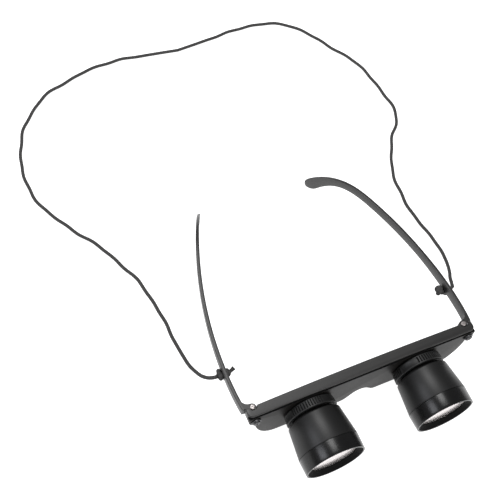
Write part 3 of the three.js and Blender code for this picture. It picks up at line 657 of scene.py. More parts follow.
def step_of(face, side):
    """Which step of its group a face lies on, or -1 off the band."""
    offset = face.center - axis_point(side)
    depth = -offset.y / MM
    if not BAND[0] < depth < BAND[1] or reach_of(face, axis_point(side)) < GRIP_RING[1][0]:
        return -1
    angle = (math.atan2(offset.z, offset.x) - RING_START[side]) % math.tau
    return int(angle / math.tau * ring_steps) % sector_steps


def is_groove(face, side):
    step = step_of(face, side)
    return 0 <= step < 2 * RIBS and step % 2 == 1


def sink(obj, test, cut, one_by_one):
    """Insets the faces that pass a test by a (margin, depth) cut in millimetres."""
    pick(obj, test)
    margin, depth = cut
    bpy.ops.mesh.inset(thickness=margin * MM, depth=-depth * MM, use_individual=one_by_one)
    leave()


for side in SIDES:
    ring = lathe(f"grip_ring_{side}", GRIP_RING, axis_point(side), start=RING_START[side], steps=ring_steps)
    sink(ring, lambda face: is_groove(face, side), GROOVE, True)
    sink(ring, lambda face: step_of(face, side) >= 2 * RIBS, PANEL, False)
    dress(ring, 0.07, ring_plastic, f"{side}_focus_ring", f"focus_ring_{side}", angle=24)
    # The groove floors get a dull black as painted shade, where little light reaches.
    darken(ring, lambda face: is_groove(face, side) and reach_of(face, axis_point(side)) < BAND_FLOOR)

# %% [markdown]
# ## Guide tubes and key studs
# Each barrel slides on a guide tube that stands on the frame's back wall. A steel stud, pressed
# through the barrel's sleeve, runs in a slot under the tube and keeps the barrel from turning.

# %% Guide tubes and studs
LEDGE_AT = 3.9
GUIDE_TUBE = [
    (9, 1.9), (13, 1.9), (13, 2.7), (9.9, 2.7), (9.9, 23.5), (9, 23.5), (9, LEDGE_AT + 0.8),
    (8.2, LEDGE_AT + 0.8), (8.2, LEDGE_AT), (9, LEDGE_AT),
]
KEY_SLOT = (2.2, 6.7, 3)
KEY_SLOT_AT = (18.25, -9.5)
KEY_STUD = [
    (0, -11.9), (1.2, -11.9), (1.4, -11.7), (1.4, -11.3), (0.8, -11.3), (0.8, -9.1), (0.7, -9), (0, -9),
]


def bar(centre, size):
    """A small box with its sizes in millimetres, along the scene's axes."""
    bpy.ops.mesh.primitive_cube_add(size=1, location=centre, scale=[s * MM for s in size])
    return settle(bpy.context.object)


for side, sign in SIDES.items():
    tube = soften(lathe(f"slide_tube_{side}", GUIDE_TUBE, axis_point(side)), 0.12)
    tube = combine(tube, bar(place(sign * axis_x, *KEY_SLOT_AT), KEY_SLOT), "DIFFERENCE")
    dress(tube, 0, inner_plastic, "front", f"guide_tube_{side}")
    stud = lathe(f"slide_stud_{side}", KEY_STUD, axis_point(side, KEY_AT), "up", steps=32)
    dress(stud, 0.04, hinge_steel, f"{side}_barrel", f"key_stud_{side}")

# %% [markdown]
# ## Screws
# Three kinds of screw hold the glasses together: washer-head screws at the two ends of the cover,
# smaller ones behind the bridge, and bright slotted screws as the pins of the hinges. The head is
# turned, and its drive is cut with one or two bars.

# %% Screw maker


def screw(name, centre, axis, head, shank, slots):
    """A head of (radius, height) pairs from its seat to the middle, on a (radius, length) shank."""
    radius, length = shank
    profile = [(0, -length), (radius, -length), (radius, 0), *head]
    obj = soften(lathe(name, profile, centre, axis, steps=64), 0.05, angle=40)
    top = centre + AXES[axis][1] * head[-1][1] * MM
    for size in slots:
        obj = combine(obj, bar(top, size), "DIFFERENCE")
    return obj


# %% Cover, bridge and hinge screws
COVER_SCREW = (62.3, 9.4)
COVER_SEAT = 6.2
BRIDGE_SCREW = (14.5, 6)
BRIDGE_SEAT = -0.3
HINGE_X = 61.9
HINGE_BACK = 0.1
TEMPLE_TOP = 13.1
PIN_SEAT = TEMPLE_TOP + 0.15
WASHER_HEAD = [
    (2.8, 0), (2.8, 0.35), (2.65, 0.6), (2.1, 0.62), (2.0, 1.15), (1.7, 1.42), (1.0, 1.5), (0, 1.5),
]
PAN_HEAD = [(1.8, 0), (1.8, 0.45), (1.6, 0.7), (1.1, 0.8), (0, 0.8)]
PIN_HEAD = [(1.35, 0), (1.35, 0.5), (1.25, 0.75), (0.95, 0.95), (0, 1)]
COVER_CROSS = [(2.4, 0.8, 0.5), (0.5, 0.8, 2.4)]
BRIDGE_CROSS = [(2.2, 0.7, 0.45), (0.45, 0.7, 2.2)]
PIN_SLOT = [(2.3, 0.5, 0.9)]


def beside(sign, spot, depth=0):
    """A point at an (x, height) spot of one side."""
    return place(sign * spot[0], depth, spot[1])


for side, sign in SIDES.items():
    seat = beside(sign, COVER_SCREW, COVER_SEAT)
    fixing = screw(f"cover_fixing_{side}", seat, "forward", WASHER_HEAD, (0.9, 3.2), COVER_CROSS)
    dress(fixing, 0, black_screw, "front", f"cover_screw_{side}")
    seat = beside(sign, BRIDGE_SCREW, BRIDGE_SEAT)
    fixing = screw(f"bridge_fixing_{side}", seat, "back", PAN_HEAD, (0.9, 5.2), BRIDGE_CROSS)
    dress(fixing, 0, black_screw, "front", f"bridge_screw_{side}")
    seat = beside(sign, (HINGE_X, PIN_SEAT), -HINGE_BACK)
    pin = screw(f"hinge_pin_{side}", seat, "up", PIN_HEAD, (0.8, 5.6), PIN_SLOT)
    dress(pin, 0, hinge_steel, f"{side}_temple", f"hinge_screw_{side}")

# %% [markdown]
# ## The bar's outline
# Seen from the front, the frame and its cover share one outline: a nose arch in the middle, a
# lobe under each telescope and a sweep up to the hinge. One half is drawn as straight runs and
# curves and then mirrored. A curve is worked out from its pulls, which gives few points and no
# faceted look.

# %% Outline of the bar
ARCH_TOP = -6.5
ARCH_HALF = 10.5
SHOULDER = -13.4
LOBE = -15.4
RAMP_WIDTH = 11
END_STEP = 3.8
SWEEP_WIDTH = 14.2
END_LOW = 4.4
END_HIGH = 10.5
COVER_TOP = 13.1


def bezier(pulls, steps=12):
    """Points on a curve with any number of pulls, without its first point."""
    placed = []
    for i in range(1, steps + 1):
        level = [Vector(pull) for pull in pulls]
        while len(level) > 1:
            level = [a.lerp(b, i / steps) for a, b in zip(level, level[1:])]
        placed.append(level[0])
    return placed


def half_outline():
    """The right half as (x, height) points, from the arch's top to the end."""
    first = Vector((0, ARCH_TOP))
    arch = [first, (ARCH_HALF * 0.5, ARCH_TOP), (ARCH_HALF * 0.62, SHOULDER), (ARCH_HALF, SHOULDER)]
    ramp = Vector((axis_x - RAMP_WIDTH, SHOULDER))
    middle_x = ramp.x + RAMP_WIDTH / 2
    lobe = [ramp, (middle_x, SHOULDER), (middle_x, LOBE), (axis_x, LOBE)]
    end_x = frame_half - END_STEP
    sweep = Vector((end_x - SWEEP_WIDTH, LOBE))
    rise = [
        sweep, (sweep.x + SWEEP_WIDTH * 0.56, LOBE), (sweep.x + SWEEP_WIDTH * 0.915, LOBE * 0.39),
        (end_x, END_LOW),
    ]
    corner = [(end_x, END_LOW), (frame_half, END_LOW + 0.85), (frame_half, END_HIGH)]
    return [first, *bezier(arch), ramp, *bezier(lobe), sweep, *bezier(rise), *bezier(corner, 6)]


def full_outline(top):
    right = [*half_outline(), Vector((frame_half, top))]
    return right + [Vector((-point.x, point.y)) for point in right[:0:-1]]


def inset(points, wall):
    """The outline moved inwards by a wall."""
    moved = []
    for i, point in enumerate(points):
        along = (points[(i + 1) % len(points)] - points[i - 1]).normalized()
        moved.append(Vector((point.x - along.y * wall, point.y + along.x * wall)))
    return moved


# %% Slabs from an outline


def slab(name, outline, reach):
    """A closed outline, filled and extruded by a vector."""
    obj = trace(name, [*outline, outline[0]])
    bpy.ops.mesh.edge_face_add()
    bpy.ops.mesh.extrude_region_move(TRANSFORM_OT_translate={"value": reach})
    leave()
    return close(obj)


def front_slab(name, outline, depth, thick):
    """An outline seen from the front, filled from a depth forwards."""
    return slab(name, [place(x, depth, z) for x, z in outline], Vector((0, -thick * MM, 0)))


def top_slab(name, outline, height, thick):
    """An outline seen from above, as (x, back) pairs, filled upwards from a height."""
    return slab(name, [place(x, -back, height) for x, back in outline], Vector((0, 0, thick * MM)))


# %% [markdown]
# ## The frame
# The frame is a shallow tray: a back wall with a rim round it, solid at both ends, where the
# screws and hinges sit, and a flat bar along the top that overhangs the cover. The bar's edges are
# rounded before it is joined to the tray, because a bevel on a finished boolean finds slivers to
# trip over. The lower half of the bar's front edge lies over a deep gap, and it gets a dull black
# as painted shade.

# %% Tray, bar and nose rest
BACK_WALL = 1.6
RIM_WALL = 1.3
TRAY_DEPTH = 3.8
BLOCK_INNER = 59.2
HOLLOW_NEAR_TOP = COVER_TOP - 1.6
BAR_BOTTOM = 13.4
BAR_TOP = 14.8
BAR_DEPTH = 5.4
BAR_BOW = 1.5
BAR_CORNER = 2.8
BAR_EDGE = 0.6
EYE_HOLE = 9.3
SCREW_HOLE = 1.2
THROUGH_WALL = (-3, 1)
NOSE_REST = (-4, 4.8)


def tray():
    """The back wall with its rim, hollow between the two end blocks."""
    outline = full_outline((BAR_BOTTOM + BAR_TOP) / 2)
    body = soften(front_slab("frame_shell", outline, 0, TRAY_DEPTH), 0.25)
    hollow = []
    for point in inset(outline, RIM_WALL):
        height = BAR_BOTTOM + 1 if point.y > HOLLOW_NEAR_TOP else point.y
        hollow.append(Vector((max(-BLOCK_INNER, min(BLOCK_INNER, point.x)), height)))
    body = combine(body, front_slab("hollow", hollow, BACK_WALL, TRAY_DEPTH), "DIFFERENCE")
    for sign in SIDES.values():
        body = drill(body, beside(sign, (axis_x, 0)), "back", EYE_HOLE, *THROUGH_WALL, steps=96)
        body = drill(body, beside(sign, BRIDGE_SCREW), "back", SCREW_HOLE, *THROUGH_WALL)
    return body


def top_bar():
    """The flat bar, with round front corners and a slightly bowed back."""
    outline = []
    for side, turns in ((-1, (180, 270)), (1, (270, 360))):
        centre = Vector((side * (frame_half - BAR_CORNER), -BAR_DEPTH + BAR_CORNER))
        for degrees in np.linspace(*turns, 9):
            angle = math.radians(degrees)
            outline.append(centre + BAR_CORNER * Vector((math.cos(angle), math.sin(angle))))
    back = [(frame_half, 0), (0, BAR_BOW), (-frame_half, 0)]
    outline += [Vector(back[0]), *bezier(back, 16)]
    flat = top_slab("top_bar", outline, BAR_BOTTOM, BAR_TOP - BAR_BOTTOM)
    return soften(flat, BAR_EDGE, segments=5)


def nose_rest():
    """A short wall behind the arch, for the nose to rest on."""
    outline = full_outline(BAR_TOP)
    inner = inset(outline, RIM_WALL)
    arch = [i for i, point in enumerate(outline) if abs(point.x) < ARCH_HALF + 0.01 and point.y < 0]
    arch.sort(key=lambda i: outline[i].x)
    ring = [outline[i] for i in arch] + [inner[i] for i in reversed(arch)]
    return soften(front_slab("nose_rest", ring, *NOSE_REST), 0.4, segments=3)

# %% Hinge ends of the frame
KNUCKLE = 2.25
KNUCKLE_ROOM = 2.4
TEMPLE_BOTTOM = 6.9
POCKET_FLOOR = TEMPLE_BOTTOM - 0.3
POCKET = (8, 1.9)
POCKET_MIDDLE = -0.05
LUG = (9.265, 10.735)
LUG_WEB = (3, 2.8)
LUG_WEB_MIDDLE = 1.3
BLOCK_BORE = (2.7, 5)
PIN_HOLE = 1.1


def hinge_end(body, sign):
    """Cuts the room for the temple's knuckles and adds the lug that they close round."""
    pin = place(sign * HINGE_X, -HINGE_BACK, 0)
    pocket_x = HINGE_X - KNUCKLE_ROOM + POCKET[0] / 2
    pocket = place(sign * pocket_x, POCKET_MIDDLE, (POCKET_FLOOR + BAR_BOTTOM) / 2)
    body = combine(body, bar(pocket, (*POCKET, BAR_BOTTOM - POCKET_FLOOR)), "DIFFERENCE")
    body = drill(body, pin, "up", KNUCKLE_ROOM, POCKET_FLOOR, BAR_TOP + 1, steps=48)
    body = combine(body, rod(pin, "up", KNUCKLE, *LUG), "UNION")
    web = place(sign * HINGE_X, LUG_WEB_MIDDLE, sum(LUG) / 2)
    body = combine(body, bar(web, (*LUG_WEB, LUG[1] - LUG[0])), "UNION")
    body = drill(body, pin, "up", PIN_HOLE, LUG[0] - 1, LUG[1] + 1)
    return drill(body, beside(sign, COVER_SCREW), "forward", SCREW_HOLE, *BLOCK_BORE)


frame_body = combine(combine(tray(), top_bar(), "UNION"), nose_rest(), "UNION")
for sign in SIDES.values():
    frame_body = hinge_end(frame_body, sign)
frame_body.name = "bar_and_tray"
dress(frame_body, 0, frame_plastic, "front", "frame")

# %% Painted shade in the gap under the bar's edge
PAINTED_SHADE_REACH = 1.5
PAINTED_SHADE_HEIGHTS = (BAR_BOTTOM - 0.2, BAR_TOP - 0.55)


def painted_shade_under_bar(face):
    depth = (bar_back - face.center.y) / MM
    height = (face.center.z - axis_height) / MM
    facing_front = face.normal.y < -0.5 and depth > BAR_DEPTH - PAINTED_SHADE_REACH
    return facing_front and PAINTED_SHADE_HEIGHTS[0] < height < PAINTED_SHADE_HEIGHTS[1]


# Dull black on the lower front faces of the bar, as painted shade of the gap above the cover.
darken(frame_body, painted_shade_under_bar)

# %% [markdown]
# ## The front cover
# A flat plate in warm matte charcoal closes the tray. It has one large hole per telescope and
# two posts behind, which the bridge screws bite into. The holes are cut with turned tools that
# carry a chamfer, so their edges come out broken without a bevel afterwards. Its top edge, under
# the bar, gets a dull black as painted shade of the gap that it closes.

# %% Cover
COVER_BACK = 4.1
COVER_FACE = 5.9
COVER_HOLE = 12.4
COVER_POST = (2.4, 1.9, COVER_BACK + 0.3)
POST_BORE = (1, 5.2)
COVER_PAINTED_SHADE_FROM = 12.5


def cut_flared(cover, centre, radius, chamfer, steps):
    """Cuts a hole that widens at both faces of the cover."""
    low, high, wide = COVER_BACK, COVER_FACE, radius + chamfer + 1
    side = [(wide, low - 1), (radius, low + chamfer), (radius, high - chamfer), (wide, high + 1)]
    tool = lathe("tool", [(0, low - 1), *side, (0, high + 1)], centre, steps=steps)
    return combine(cover, tool, "DIFFERENCE")


plate = front_slab("cover_plate", full_outline(COVER_TOP), COVER_BACK, COVER_FACE - COVER_BACK)
cover = soften(plate, 0.28, 3)
for sign in SIDES.values():
    post = rod(beside(sign, BRIDGE_SCREW), "forward", *COVER_POST)
    cover = combine(cover, post, "UNION")
    cover = cut_flared(cover, beside(sign, (axis_x, 0)), COVER_HOLE, 0.3, 128)
    cover = cut_flared(cover, beside(sign, COVER_SCREW), SCREW_HOLE, 0.1, 32)
    cover = drill(cover, beside(sign, BRIDGE_SCREW), "forward", SCREW_HOLE, *POST_BORE)
dress(cover, 0, cover_plastic, "front", "front_cover")
# Dull black on the cover's upward faces under the bar, as painted shade.
darken(cover, lambda face: face.normal.z > 0.4 and face.center.z > axis_height + COVER_PAINTED_SHADE_FROM * MM)

# %% [markdown]
# ## Temples
# A temple is a flat strap that leaves the hinge outwards, runs back, bends in behind the ear and
# drops to a rounded paddle. It is modelled straight, as a rounded rectangle extruded and scaled
# from station to station, and then laid along its line by a formula. The hinge's knuckles and the
# cord's eyelet are added to one temple, which is mirrored for the other side.

# %% The temple's line
TEMPLE_THICK = 2
TEMPLE_HEIGHT = TEMPLE_TOP - TEMPLE_BOTTOM
TEMPLE_START = 0.6
TEMPLE_REACH = 129.5
TEMPLE_INWARD = 30.5
INWARD_START = 14
FLARE = 0.8
DROP_START = 88
TIP_RISE = 0.42
WAIST_SHARE = 0.86
WAIST_REACH = 50
PADDLE_HALF = 3.8
PADDLE_REACH = 32
TIP_ROUND = 6.5
TIP_LEAST = 0.08
STRAP_ROUND = 0.45
TEMPLE_STATIONS = 72
EYELET = (24.2, 6.7)
TEMPLE_OUTER = frame_half + 1.9
TEMPLE_DROP = TEMPLE_TOP - TEMPLE_HEIGHT / 2 + axis_height / MM - TIP_RISE


def temple_outer(back):
    """The strap's outer face, in millimetres from the middle."""
    inward = max(0, back - INWARD_START) / (TEMPLE_REACH - INWARD_START)
    flare = max(0, INWARD_START - back) / INWARD_START
    return TEMPLE_OUTER - TEMPLE_INWARD * inward ** 2 - FLARE * flare ** 2


def temple_centre(back):
    """The height of the strap's middle line, which drops towards the tip."""
    share = max(0, back - DROP_START) / (TEMPLE_REACH - DROP_START)
    return TEMPLE_TOP - TEMPLE_HEIGHT / 2 - TEMPLE_DROP * share ** 3


def smooth(value, low, high):
    share = min(1, max(0, (value - low) / (high - low)))
    return share * share * (3 - 2 * share)


def run_lengths(points):
    """The length from the first point of a path to each of its points."""
    return np.concatenate([[0], np.cumsum([(b - a).length for a, b in zip(points, points[1:])])])


line = [Vector((back, temple_centre(back))) for back in np.linspace(TEMPLE_START, TEMPLE_REACH, 400)]
line_lengths = run_lengths(line)
temple_length = float(line_lengths[-1])


def strap_half(along):
    """Half the strap's height at a length from its front end."""
    waist = TEMPLE_HEIGHT / 2 * (1 - (1 - WAIST_SHARE) * smooth(along, EYELET[0], WAIST_REACH))
    to_end = temple_length - along
    half = waist + (PADDLE_HALF - waist) * smooth(PADDLE_REACH - to_end, 0, PADDLE_REACH)
    near_end = max(0, TIP_ROUND - to_end) / TIP_ROUND
    return half * max(TIP_LEAST, math.sqrt(1 - near_end ** 2))


def line_point(along):
    """A point at a length along the strap's line, as (back, height)."""
    return np.array([np.interp(along, line_lengths, [point[i] for point in line]) for i in range(2)])


def on_line(along, aside):
    """A point at a length along the line and a height across it, as (back, height)."""
    tangent = Vector(line_point(along + 0.5) - line_point(along - 0.5)).normalized()
    back, height = line_point(along)
    return back - tangent.y * aside, height + tangent.x * aside


# %% Strap
TIP_ANGLES = (12, 24, 36, 48, 58, 67, 75, 83, 90)


def stations():
    """Where the strap is extruded to, as lengths along it, close together at the round tip."""
    body_length = temple_length - TIP_ROUND
    body = list(np.linspace(0, body_length, TEMPLE_STATIONS))
    return body + [temple_length - TIP_ROUND * (1 - math.sin(math.radians(a))) for a in TIP_ANGLES]


def straight_strap():
    bpy.ops.mesh.primitive_plane_add(size=1, location=(0, 0, 0), rotation=(math.pi / 2, 0, 0))
    obj = bpy.context.object
    obj.name = "strap"
    obj.scale = (TEMPLE_THICK, 2 * strap_half(0), 1)
    edit(settle(obj))
    bpy.ops.mesh.bevel(offset=STRAP_ROUND, segments=3, affect="VERTICES")
    bpy.ops.mesh.select_all(action="SELECT")
    places = stations()
    for here, there in zip(places, places[1:]):
        bpy.ops.mesh.extrude_region_move(TRANSFORM_OT_translate={"value": (0, there - here, 0)})
        ratio = strap_half(there) / strap_half(here)
        bpy.ops.transform.resize(value=(1, 1, ratio), center_override=(0, there, 0))
    leave()
    return obj


strap = straight_strap()
for vertex in strap.data.vertices:
    back, height = on_line(vertex.co.y, vertex.co.z)
    vertex.co = place(temple_outer(back) - TEMPLE_THICK / 2 + vertex.co.x, -back, height)
close(strap)
print("strap", round(temple_length, 1), "mm along its line")

# %% Knuckles, web and eyelet
KNUCKLE_HEIGHTS = [(TEMPLE_BOTTOM, 8.965), (11.035, TEMPLE_TOP)]
EYELET_RIM = [(0, -2), (2.55, -2), (2.8, -1.75), (2.8, -0.25), (2.55, 0), (0, 0)]
EYELET_HOLE = [(0, -3), (2.7, -3), (1.5, -1.8), (1.5, -0.2), (2.7, 1), (0, 1)]


def web_outline():
    inner = temple_outer(0) - TEMPLE_THICK / 2
    back = HINGE_BACK + KNUCKLE
    pulls = [(inner, 6), (inner - TEMPLE_THICK / 2, back), (HINGE_X, back)]
    return [(HINGE_X, HINGE_BACK - KNUCKLE / 4), (inner, TEMPLE_START), pulls[0], *bezier(pulls)]


def knuckle_profile(low, high, chamfer=0.2):
    inner = KNUCKLE - chamfer
    side = [(inner, low), (KNUCKLE, low + chamfer), (KNUCKLE, high - chamfer), (inner, high)]
    return [(0, low), *side, (0, high)]


hinge_at = place(HINGE_X, -HINGE_BACK, 0)
for low, high in KNUCKLE_HEIGHTS:
    web = top_slab("web", web_outline(), low, high - low)
    strap = combine(strap, web, "UNION")
    knuckle = lathe("knuckle", knuckle_profile(low, high), hinge_at, "up", steps=48)
    strap = combine(strap, knuckle, "UNION")
strap = drill(strap, hinge_at, "up", PIN_HOLE, TEMPLE_BOTTOM + 0.3, TEMPLE_TOP + 1)
eyelet_at = place(temple_outer(EYELET[0]), -EYELET[0], EYELET[1])
for profile, steps, operation in ((EYELET_RIM, 48, "UNION"), (EYELET_HOLE, 32, "DIFFERENCE")):
    turned = lathe("eyelet", profile, eyelet_at, "across", steps=steps)
    strap = combine(strap, turned, operation)

# %% Right and left temple
strap.name = "temple_arm_right"
only(strap)
bpy.ops.object.duplicate()
left_strap = bpy.context.object
left_strap.name = "temple_arm_left"
edit(left_strap)
bpy.ops.transform.resize(value=(-1, 1, 1), center_override=(0, 0, 0))
leave()
close(left_strap)
for side, piece in (("left", left_strap), ("right", strap)):
    dress(piece, 0, frame_plastic, f"{side}_temple", f"temple_{side}")

# %% [markdown]
# ## The neck cord
# A thin braided cord runs from one temple eyelet, down to the table, round behind the glasses and
# back to the other eyelet. Its route is a list of given points, smoothed by a spline. A swept tube
# is used instead of a bevelled curve, because it can carry a map for its braid. Two faint waves are
# laid on the far part, for a cord that was once wound up never lies as smooth as wire.

# %% The cord's route
CORD_RADIUS = 1.0
CORD_STEP = 1.3
CORD_FLOOR = -15.2
LEFT_ROUTE = [
    (-71.8, 24.4, 6.5), (-73.7, 26, 4.2), (-75, 29, 0), (-75.7, 32.6, -4.6), (-76.3, 37.6, -9.6),
    (-77.1, 43.4, -13.7), (-77.9, 50.7), (-79.2, 64), (-80, 80), (-82.4, 96), (-88.5, 115), (-99.5, 137),
    (-114, 160), (-122.4, 184), (-121.3, 204), (-117.5, 220), (-108, 237), (-93, 252), (-70, 261.5),
    (-45, 266.5), (-20, 264.5), (3, 261.6),
]
RIGHT_ROUTE = [
    (71.8, 24.5, 6.5), (74.2, 27.4, 3.9), (78, 33, -0.8), (82.4, 38, -6), (86.4, 43.6, -10.8),
    (89.4, 49.6, -14.2), (90.8, 58), (89.6, 70), (88.3, 84), (87.8, 98), (90.5, 114), (96.5, 130),
    (105.5, 144), (114.5, 155.5), (118.6, 167), (117, 184), (115, 205), (106.5, 223), (96, 242),
    (84, 258), (62, 266), (40, 265.3), (18, 263), (3, 261.6),
]


def route_point(x, back, height=CORD_FLOOR):
    """A point of the route, on the table where no height is given."""
    return place(x, -back, height)


def knot_point(side, x, back=0, up=0):
    """A point beside the eyelet: x from the middle, then further back and up, in millimetres."""
    return place(SIDES[side] * x, -(EYELET[0] + back), EYELET[1] + up)


def knot_end(side):
    """How far out the knot's solid reaches, where the free cord begins."""
    low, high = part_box(f"cord_knot_{side}")
    return max(-low.x, high.x) / MM

# %% Smoothing a route


def between(a, b, start, end, at):
    """A point from a at one time to b at another."""
    return a * ((end - at) / (end - start)) + b * ((at - start) / (end - start))


def spline(points, step):
    """Centripetal Catmull-Rom through the points, spaced evenly by about a step in millimetres."""
    first = points[0] * 2 - points[1]
    last = points[-1] * 2 - points[-2]
    stops = [first, *points, last]
    dense = []
    for p0, p1, p2, p3 in zip(stops, stops[1:], stops[2:], stops[3:]):
        t0 = 0
        t1 = t0 + (p1 - p0).length ** 0.5
        t2 = t1 + (p2 - p1).length ** 0.5
        t3 = t2 + (p3 - p2).length ** 0.5
        for share in np.linspace(0, 1, 24, endpoint=False):
            t = t1 + (t2 - t1) * share
            level = [p0, p1, p2, p3]
            for spans in (((t0, t1), (t1, t2), (t2, t3)), ((t0, t2), (t1, t3)), ((t1, t2),)):
                level = [between(a, b, *span, t) for a, b, span in zip(level, level[1:], spans)]
            dense.append(level[0])
    dense.append(points[-1])
    lengths = run_lengths(dense)
    count = max(2, round(lengths[-1] / (step * MM)))
    wanted = np.linspace(0, lengths[-1], count + 1)
    even = np.stack([np.interp(wanted, lengths, axis) for axis in np.array(dense).T], axis=1)
    return [Vector(row) for row in even]

# %% Sweeping a tube


def sweep(name, points, radius_at, sides=14, closed=False):
    """A round tube along points, with a map that runs u along it in metres and v round it."""
    count = len(points)
    verts, lengths = [], [0]
    across = (points[1] - points[0]).cross(Vector((0.3, 0.2, 1))).normalized()
    for i, point in enumerate(points):
        ahead = points[(i + 1) % count] if closed else points[min(i + 1, count - 1)]
        behind = points[i - 1] if closed else points[max(i - 1, 0)]
        tangent = (ahead - behind).normalized()
        across = (across - tangent * across.dot(tangent)).normalized()
        other = tangent.cross(across)
        radius = radius_at(i / (count - 1))
        for k in range(sides):
            angle = math.tau * k / sides
            verts.append(point + (across * math.cos(angle) + other * math.sin(angle)) * radius)
        lengths.append(lengths[-1] + (ahead - point).length)
    faces, charts = [], []
    for i in range(count if closed else count - 1):
        row, next_row = i * sides, (i + 1) % count * sides
        for k in range(sides):
            n = (k + 1) % sides
            faces.append((row + k, row + n, next_row + n, next_row + k))
            start, end = lengths[i], lengths[i + 1]
            charts.append([(start, k), (start, k + 1), (end, k + 1), (end, k)])
    if not closed:
        last = (count - 1) * sides
        faces += [tuple(range(sides))[::-1], tuple(range(last, last + sides))]
        charts += [[(0, k) for k in range(sides)][::-1], [(lengths[-1], k) for k in range(sides)]]
    mesh = bpy.data.meshes.new(name)
    mesh.from_pydata(verts, [], faces)
    chart = mesh.uv_layers.new(name="along")
    flat = [(u, v / sides) for face in charts for u, v in face]
    chart.data.foreach_set("uv", np.array(flat, np.float32).ravel())
    for face in mesh.polygons:
        face.use_smooth = len(face.vertices) == 4
    return added(name, mesh)

# %% [markdown]
# ## Knots
# The cord is knotted inside each eyelet. An overhand knot pulled tight is a trefoil, so its line
# is the trefoil's formula, flattened against the strap, with the strand through the hole beside
# it. The left knot has a second turn outside the strap and a short cut tail.

# %% Knot makers
TREFOIL_REACH = 3


def overhand(name, side, x, radius, thick, back=0, up=0, tube=CORD_RADIUS):
    """A tight knot about a point, with its outer radius and its thickness across the strap."""
    lateral = (radius - tube) / TREFOIL_REACH
    depth = max(0.25, thick / 2 - tube)
    points = []
    for turn in np.linspace(0, math.tau, 96, endpoint=False):
        a = math.sin(turn) + 2 * math.sin(2 * turn)
        b = math.cos(turn) - 2 * math.cos(2 * turn)
        inwards = math.sin(3 * turn) * depth
        points.append(knot_point(side, x - inwards, back + a * lateral, up + b * lateral))
    return sweep(name, points, lambda share: tube * MM, sides=16, closed=True)


def strand(name, side, stops, end_share=1.0):
    """A short stretch through (x, back, up) stops; its end may swell a little where it was sealed."""
    path = spline([knot_point(side, *stop) for stop in stops], 0.35)
    return sweep(name, path, lambda share: CORD_RADIUS * MM * (1 + (end_share - 1) * share ** 4), sides=16)

# %% Two knots
inner_face = temple_outer(EYELET[0]) - TEMPLE_THICK - 0.3
in_hole = (inner_face + 1, 0, 0)
through_left = [(inner_face - 1.5, 0, 0), in_hole, (knot_end("left"), 0, 0)]
tail_left = [(inner_face - 2, 0, 0), (inner_face - 3.8, 0.6, 0.3), (inner_face - 4.9, 1, 0.8)]
through_right = [(inner_face - 1.5, 0.6, 0.5), in_hole, (knot_end("right"), 0, 0)]
left_pieces = [
    overhand("knot_left", "left", inner_face - 1.1, radius=2.5, thick=2.7, up=-0.3),
    overhand("turn_left", "left", knot_end("left") - 1.2, radius=3.5, thick=2, up=0.5, tube=1.15),
    strand("through_left", "left", through_left),
    strand("tail_left", "left", tail_left, end_share=1.3),
]
right_pieces = [
    overhand("knot_right", "right", inner_face - 1.9, radius=3.1, thick=4.2, back=0.7, up=0.5, tube=1.3),
    strand("through_right", "right", through_right),
]
knots = {}
for side, parts in (("left", left_pieces), ("right", right_pieces)):
    knots[side] = joined(f"knot_{side}", *parts)
    dress(knots[side], None, cord_black, f"{side}_temple", f"cord_knot_{side}")

# %% Small waves, as (size, length, phase)
WAVES = [(0.26, 18.0, 0.4), (0.36, 31.0, 1.9)]
WAVE_START = 45
WAVE_FADE = 20


def wavy(path):
    """Lays small sideways waves on a path, from well after the knot to well before its far end."""
    lengths = run_lengths(path) / MM
    moved = list(path)
    for i in range(1, len(path) - 1):
        fade = smooth(lengths[i], WAVE_START, WAVE_START + WAVE_FADE)
        fade *= smooth(lengths[-1] - lengths[i], WAVE_FADE / 2, 2 * WAVE_FADE)
        wave = sum(size * math.sin(math.tau * lengths[i] / span + phase) for size, span, phase in WAVES)
        aside = (path[i + 1] - path[i - 1]).cross(Vector((0, 0, 1))).normalized()
        moved[i] = path[i] + aside * wave * fade * MM
    return moved


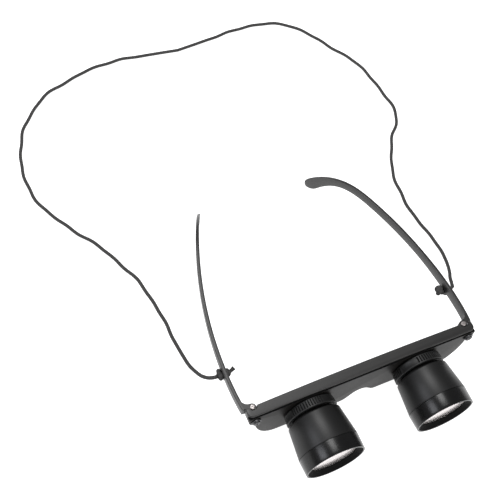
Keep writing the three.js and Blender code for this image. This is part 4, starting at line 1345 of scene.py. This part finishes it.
# %% Two halves of the cord
for side, route in (("left", LEFT_ROUTE), ("right", RIGHT_ROUTE)):
    points = [knot_point(side, knot_end(side))] + [route_point(*point) for point in route]
    path = wavy(spline(points, CORD_STEP))
    length = float(run_lengths(path)[-1])
    half = sweep(f"cord_{side}", path, lambda share: CORD_RADIUS * MM)
    half.data.materials.append(cord_black)
    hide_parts(f"neck_cord_{side}")
    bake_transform(half)
    print(half.name, "length", round(length, 4), "m,", len(half.data.vertices), "vertices")

# %% [markdown]
# ## Stage and light
# The object lies on a white table that is exposed to plain white, so no shadow shows under it, and
# the light that comes up from the table reaches the cover and the undersides of the barrels. The
# floor is therefore a light source itself. A soft light overhead draws the stripe along each
# barrel, a bluish window stands on the left, and a wide light in front fills the rest.

# %% White table
bpy.ops.mesh.primitive_plane_add(size=40, location=(0, 0, 0))
floor = bpy.context.object
floor.name = "floor"
glow = Finish("floor_white")
glow.surface(Base_Color=grey(0.5), Roughness=0.9, Specular_IOR_Level=0)
glow.surface(Emission_Color=grey(1), Emission_Strength=1.0)
floor.data.materials.append(glow.material)

# %% Soft lights
LIGHT_AIM = Vector((0, -0.03, 0.01))


def soft_light(name, at, size, power, colour=(1, 1, 1)):
    """A rectangular lamp at a place in metres, turned towards the telescopes."""
    data = bpy.data.lights.new(name, "AREA")
    data.shape = "RECTANGLE"
    data.size, data.size_y = size
    data.energy = power
    data.color = colour
    light = added(name, data)
    turn = (LIGHT_AIM - Vector(at)).to_track_quat("-Z", "Y")
    light.matrix_world = Matrix.Translation(at) @ turn.to_matrix().to_4x4()


soft_light("overhead", at=(-0.03, 0.38, 0.92), size=(0.32, 0.55), power=6.5)
soft_light("window", at=(-0.7, 0.12, 0.68), size=(0.34, 0.4), power=3.2, colour=(0.92, 0.94, 1.0))
soft_light("front", at=(0.15, -0.65, 0.8), size=(0.8, 0.5), power=5.0)
world = bpy.data.worlds.new("room")
world.use_nodes = True
world.node_tree.nodes["Background"].inputs["Color"].default_value = (0.2, 0.2, 0.205, 1)
bpy.context.scene.world = world
